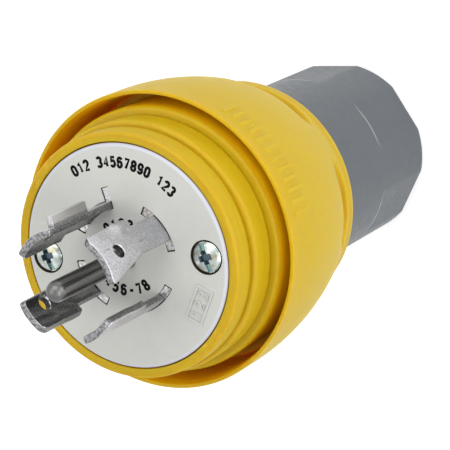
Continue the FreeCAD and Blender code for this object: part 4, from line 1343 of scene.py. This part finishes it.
outside_levels = [boot_low + 0.6]
while outside_levels[-1] < boot_high - 0.4:
    level = outside_levels[-1]
    close = level < boot_low + 8.0 or abs(level - BAR_LOW) < 0.6 or abs(level - BAR_HIGH) < 0.6
    outside_levels.append(min(boot_high - 0.4, level + (0.2 if close else 0.6)))
outside = [Vector((boot_radius(level), level)) for level in outside_levels]
socket_floor = boot_high - SOCKET_DEPTH
boot_outline = rounded([
    (COLLAR_INNER, SHOULDER),
    (COLLAR_INNER, boot_low, 0.5),
    (COLLAR_OUTER, boot_low, 0.6),
] + outside + [
    (RIM_RADIUS, boot_high, 0.15),
    (RIM_RADIUS - LIP_WALL, boot_high, 0.15),
    (RIM_RADIUS - RIM_WALL, boot_high - LIP_DEPTH, 1.0),
    (RIM_RADIUS - RIM_WALL - SOCKET_TAPER, socket_floor),
    (CORE_RADIUS, socket_floor),
    (CORE_RADIUS, SHOULDER + SHOULDER_RISE),
    (CORE_RADIUS - SHOULDER_RISE, SHOULDER),
])
boot = lathe("grip_boot", boot_outline, 600, boot_shape)
# The socket's inner face is painted a brighter yellow than the outside, as painted light deep in the gap
tree = yellow_rubber.node_tree
away, height = piece_place(tree)
inner_face = RIM_RADIUS - LIP_WALL
inside = times(tree, ranged(tree, away, inner_face + 0.1, inner_face + 0.03),
               ranged(tree, away, RING_RADIUS - 0.05, RING_RADIUS - 0.01))
inside = times(tree, inside, ranged(tree, height, socket_floor - 0.3, socket_floor - 0.2))
laid_over(yellow_rubber, inside, INNER_PAINTED_LIGHT)
dress(boot, yellow_rubber, "housing", "yellow_elastomer", "shroud_boot")


# Grommet and slip ring: a black rubber cone with ribs in its bore, and a flat nylon washer behind it.
# The nut presses them into the mouth of the neck, so that they grip and seal the cord.
GROMMET_BORE = 9.2
GROMMET_FLANGE = 4.5
GROMMET_RADIUS = 19.1
GROMMET_TIP = 13.0
RIBS = 4
RIB_RAISED = 0.7
WASHER_COLOUR = (176, 174, 166)
WASHER_WORN = (210, 208, 200)
WASHER_DUST = (150, 146, 136)
grommet_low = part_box("cord_grommet")[0].z / MM
grommet_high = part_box("cord_grommet")[1].z / MM
rib_pitch = (grommet_high - grommet_low) / RIBS
bore_line = []
for row in range(RIBS * 10, -1, -1):
    height = grommet_low + (grommet_high - grommet_low) * row / (RIBS * 10)
    wave = 0.5 + 0.5 * math.cos(math.tau * (height - grommet_low) / rib_pitch)
    bore_line.append(Vector((GROMMET_BORE + RIB_RAISED * wave, height)))
grommet = lathe("grommet_cone", rounded([
    (GROMMET_RADIUS, grommet_low, 0.4),
    (GROMMET_RADIUS, grommet_low + GROMMET_FLANGE, 0.4),
    (MOUTH_RADIUS - 0.35, grommet_low + GROMMET_FLANGE),
    (GROMMET_TIP, grommet_high, 0.4),
] + bore_line), 96)
dress(grommet, black_rubber, "slip_ring", "black_rubber", "cord_grommet")
washer_nylon = moulded_material("washer_nylon", WASHER_COLOUR, WASHER_WORN, WASHER_DUST, 0.4, 0.02)
recoat(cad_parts["slip_ring"], washer_nylon)


# Cord nut: grey glass-filled nylon, moulded with an inner thread, a rounded end and six flats for a wrench.
# Each flat stops in a thin straight ledge, and the nut's front runs into the collar of the boot.
NUT_COLOUR = (83, 89, 95)
NUT_WORN = (160, 165, 168)
NUT_DUST = (140, 143, 143)
LEDGE_SHEEN = (176, 180, 184)
NUT_RADIUS = 23.0
NUT_BORE = 19.55
NUT_FLOOR = 6.0
CORD_BORE = 11.0
FLAT_DEPTH = 0.9
FLAT_LENGTH = 23.4
LEDGE_HALF = 0.45
FLAT_FIRST = 2.0
FLATS = 6
NUT_THREAD_RUN = 2.0
NUT_THREAD_MARGIN = 1.0
BORE_ROWS = 130
nut_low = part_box("cord_nut")[0].z / MM
nut_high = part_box("cord_nut")[1].z / MM


def nut_shape(angle, radius, height):
    """Planes off the six flats and cuts the inner thread."""
    if radius > NUT_RADIUS - 2.2 and height < nut_high - 1.0:
        beside = off_middle(math.degrees(angle), FLAT_FIRST, FLATS)
        plane = (NUT_RADIUS - FLAT_DEPTH) / math.cos(math.radians(beside))
        run = 1.0 - step(FLAT_LENGTH - LEDGE_HALF, FLAT_LENGTH + LEDGE_HALF, height)
        return radius - max(0.0, NUT_RADIUS - plane) * run, height
    low = NUT_FLOOR + NUT_THREAD_RUN
    high = nut_high - NUT_THREAD_MARGIN
    if abs(radius - NUT_BORE) < 0.01 and low < height < high:
        run = plateau(low, high, NUT_THREAD_RUN, NUT_THREAD_RUN, height)
        return radius + THREAD_DEPTH * run * (1.0 - thread_wave(angle, height)), height
    return radius, height


flat_levels = [2.5, 6.0, 12.0, 18.0]
flat_levels += [FLAT_LENGTH + LEDGE_HALF * part / 4.0 for part in range(-6, 7)]
flat_levels += [30.0, 40.0, 50.0]
bore_line = [Vector((NUT_BORE, nut_high - 0.6 - (nut_high - NUT_FLOOR - 1.2) * row / BORE_ROWS))
             for row in range(BORE_ROWS + 1)]
nut = lathe("cord_nut_shell", rounded([
    (CORD_BORE, nut_low, 0.5),
    (NUT_RADIUS, nut_low, 1.5),
] + [Vector((NUT_RADIUS, nut_low + level)) for level in flat_levels] + [
    (NUT_RADIUS, nut_high, 0.4),
    (NUT_BORE, nut_high, 0.4),
] + bore_line + [
    (NUT_BORE, NUT_FLOOR),
    (CORD_BORE, NUT_FLOOR),
], 8), 240, nut_shape)
grey_nylon = moulded_material("grey_nylon", NUT_COLOUR, NUT_WORN, NUT_DUST, 0.42, 0.02,
                              dust_amount=0.1, cloud=0.04, gloss=0.4)
# A painted highlight lies as a light line over the middle of each ledge
tree = grey_nylon.node_tree
near_ledge = maths(tree, "SUBTRACT", piece_place(tree)[1], FLAT_LENGTH + LEDGE_HALF + 0.1)
near_ledge = ranged(tree, maths(tree, "ABSOLUTE", near_ledge), 0.65, 0.2)
share = maths(tree, "ADD", piece_turn(tree), 180.0 / FLATS - FLAT_FIRST)
share = maths(tree, "MODULO", share, 360.0 / FLATS)
share = maths(tree, "ABSOLUTE", maths(tree, "SUBTRACT", share, 180.0 / FLATS))
ledge_highlight = times(tree, near_ledge, ranged(tree, share, 15.0, 8.0))
laid_over(grey_nylon, times(tree, ledge_highlight, 0.55), LEDGE_SHEEN)
dress(nut, grey_nylon, "cord_nut", "grey_nylon", "cord_nut")


bpy.context.view_layer.update()
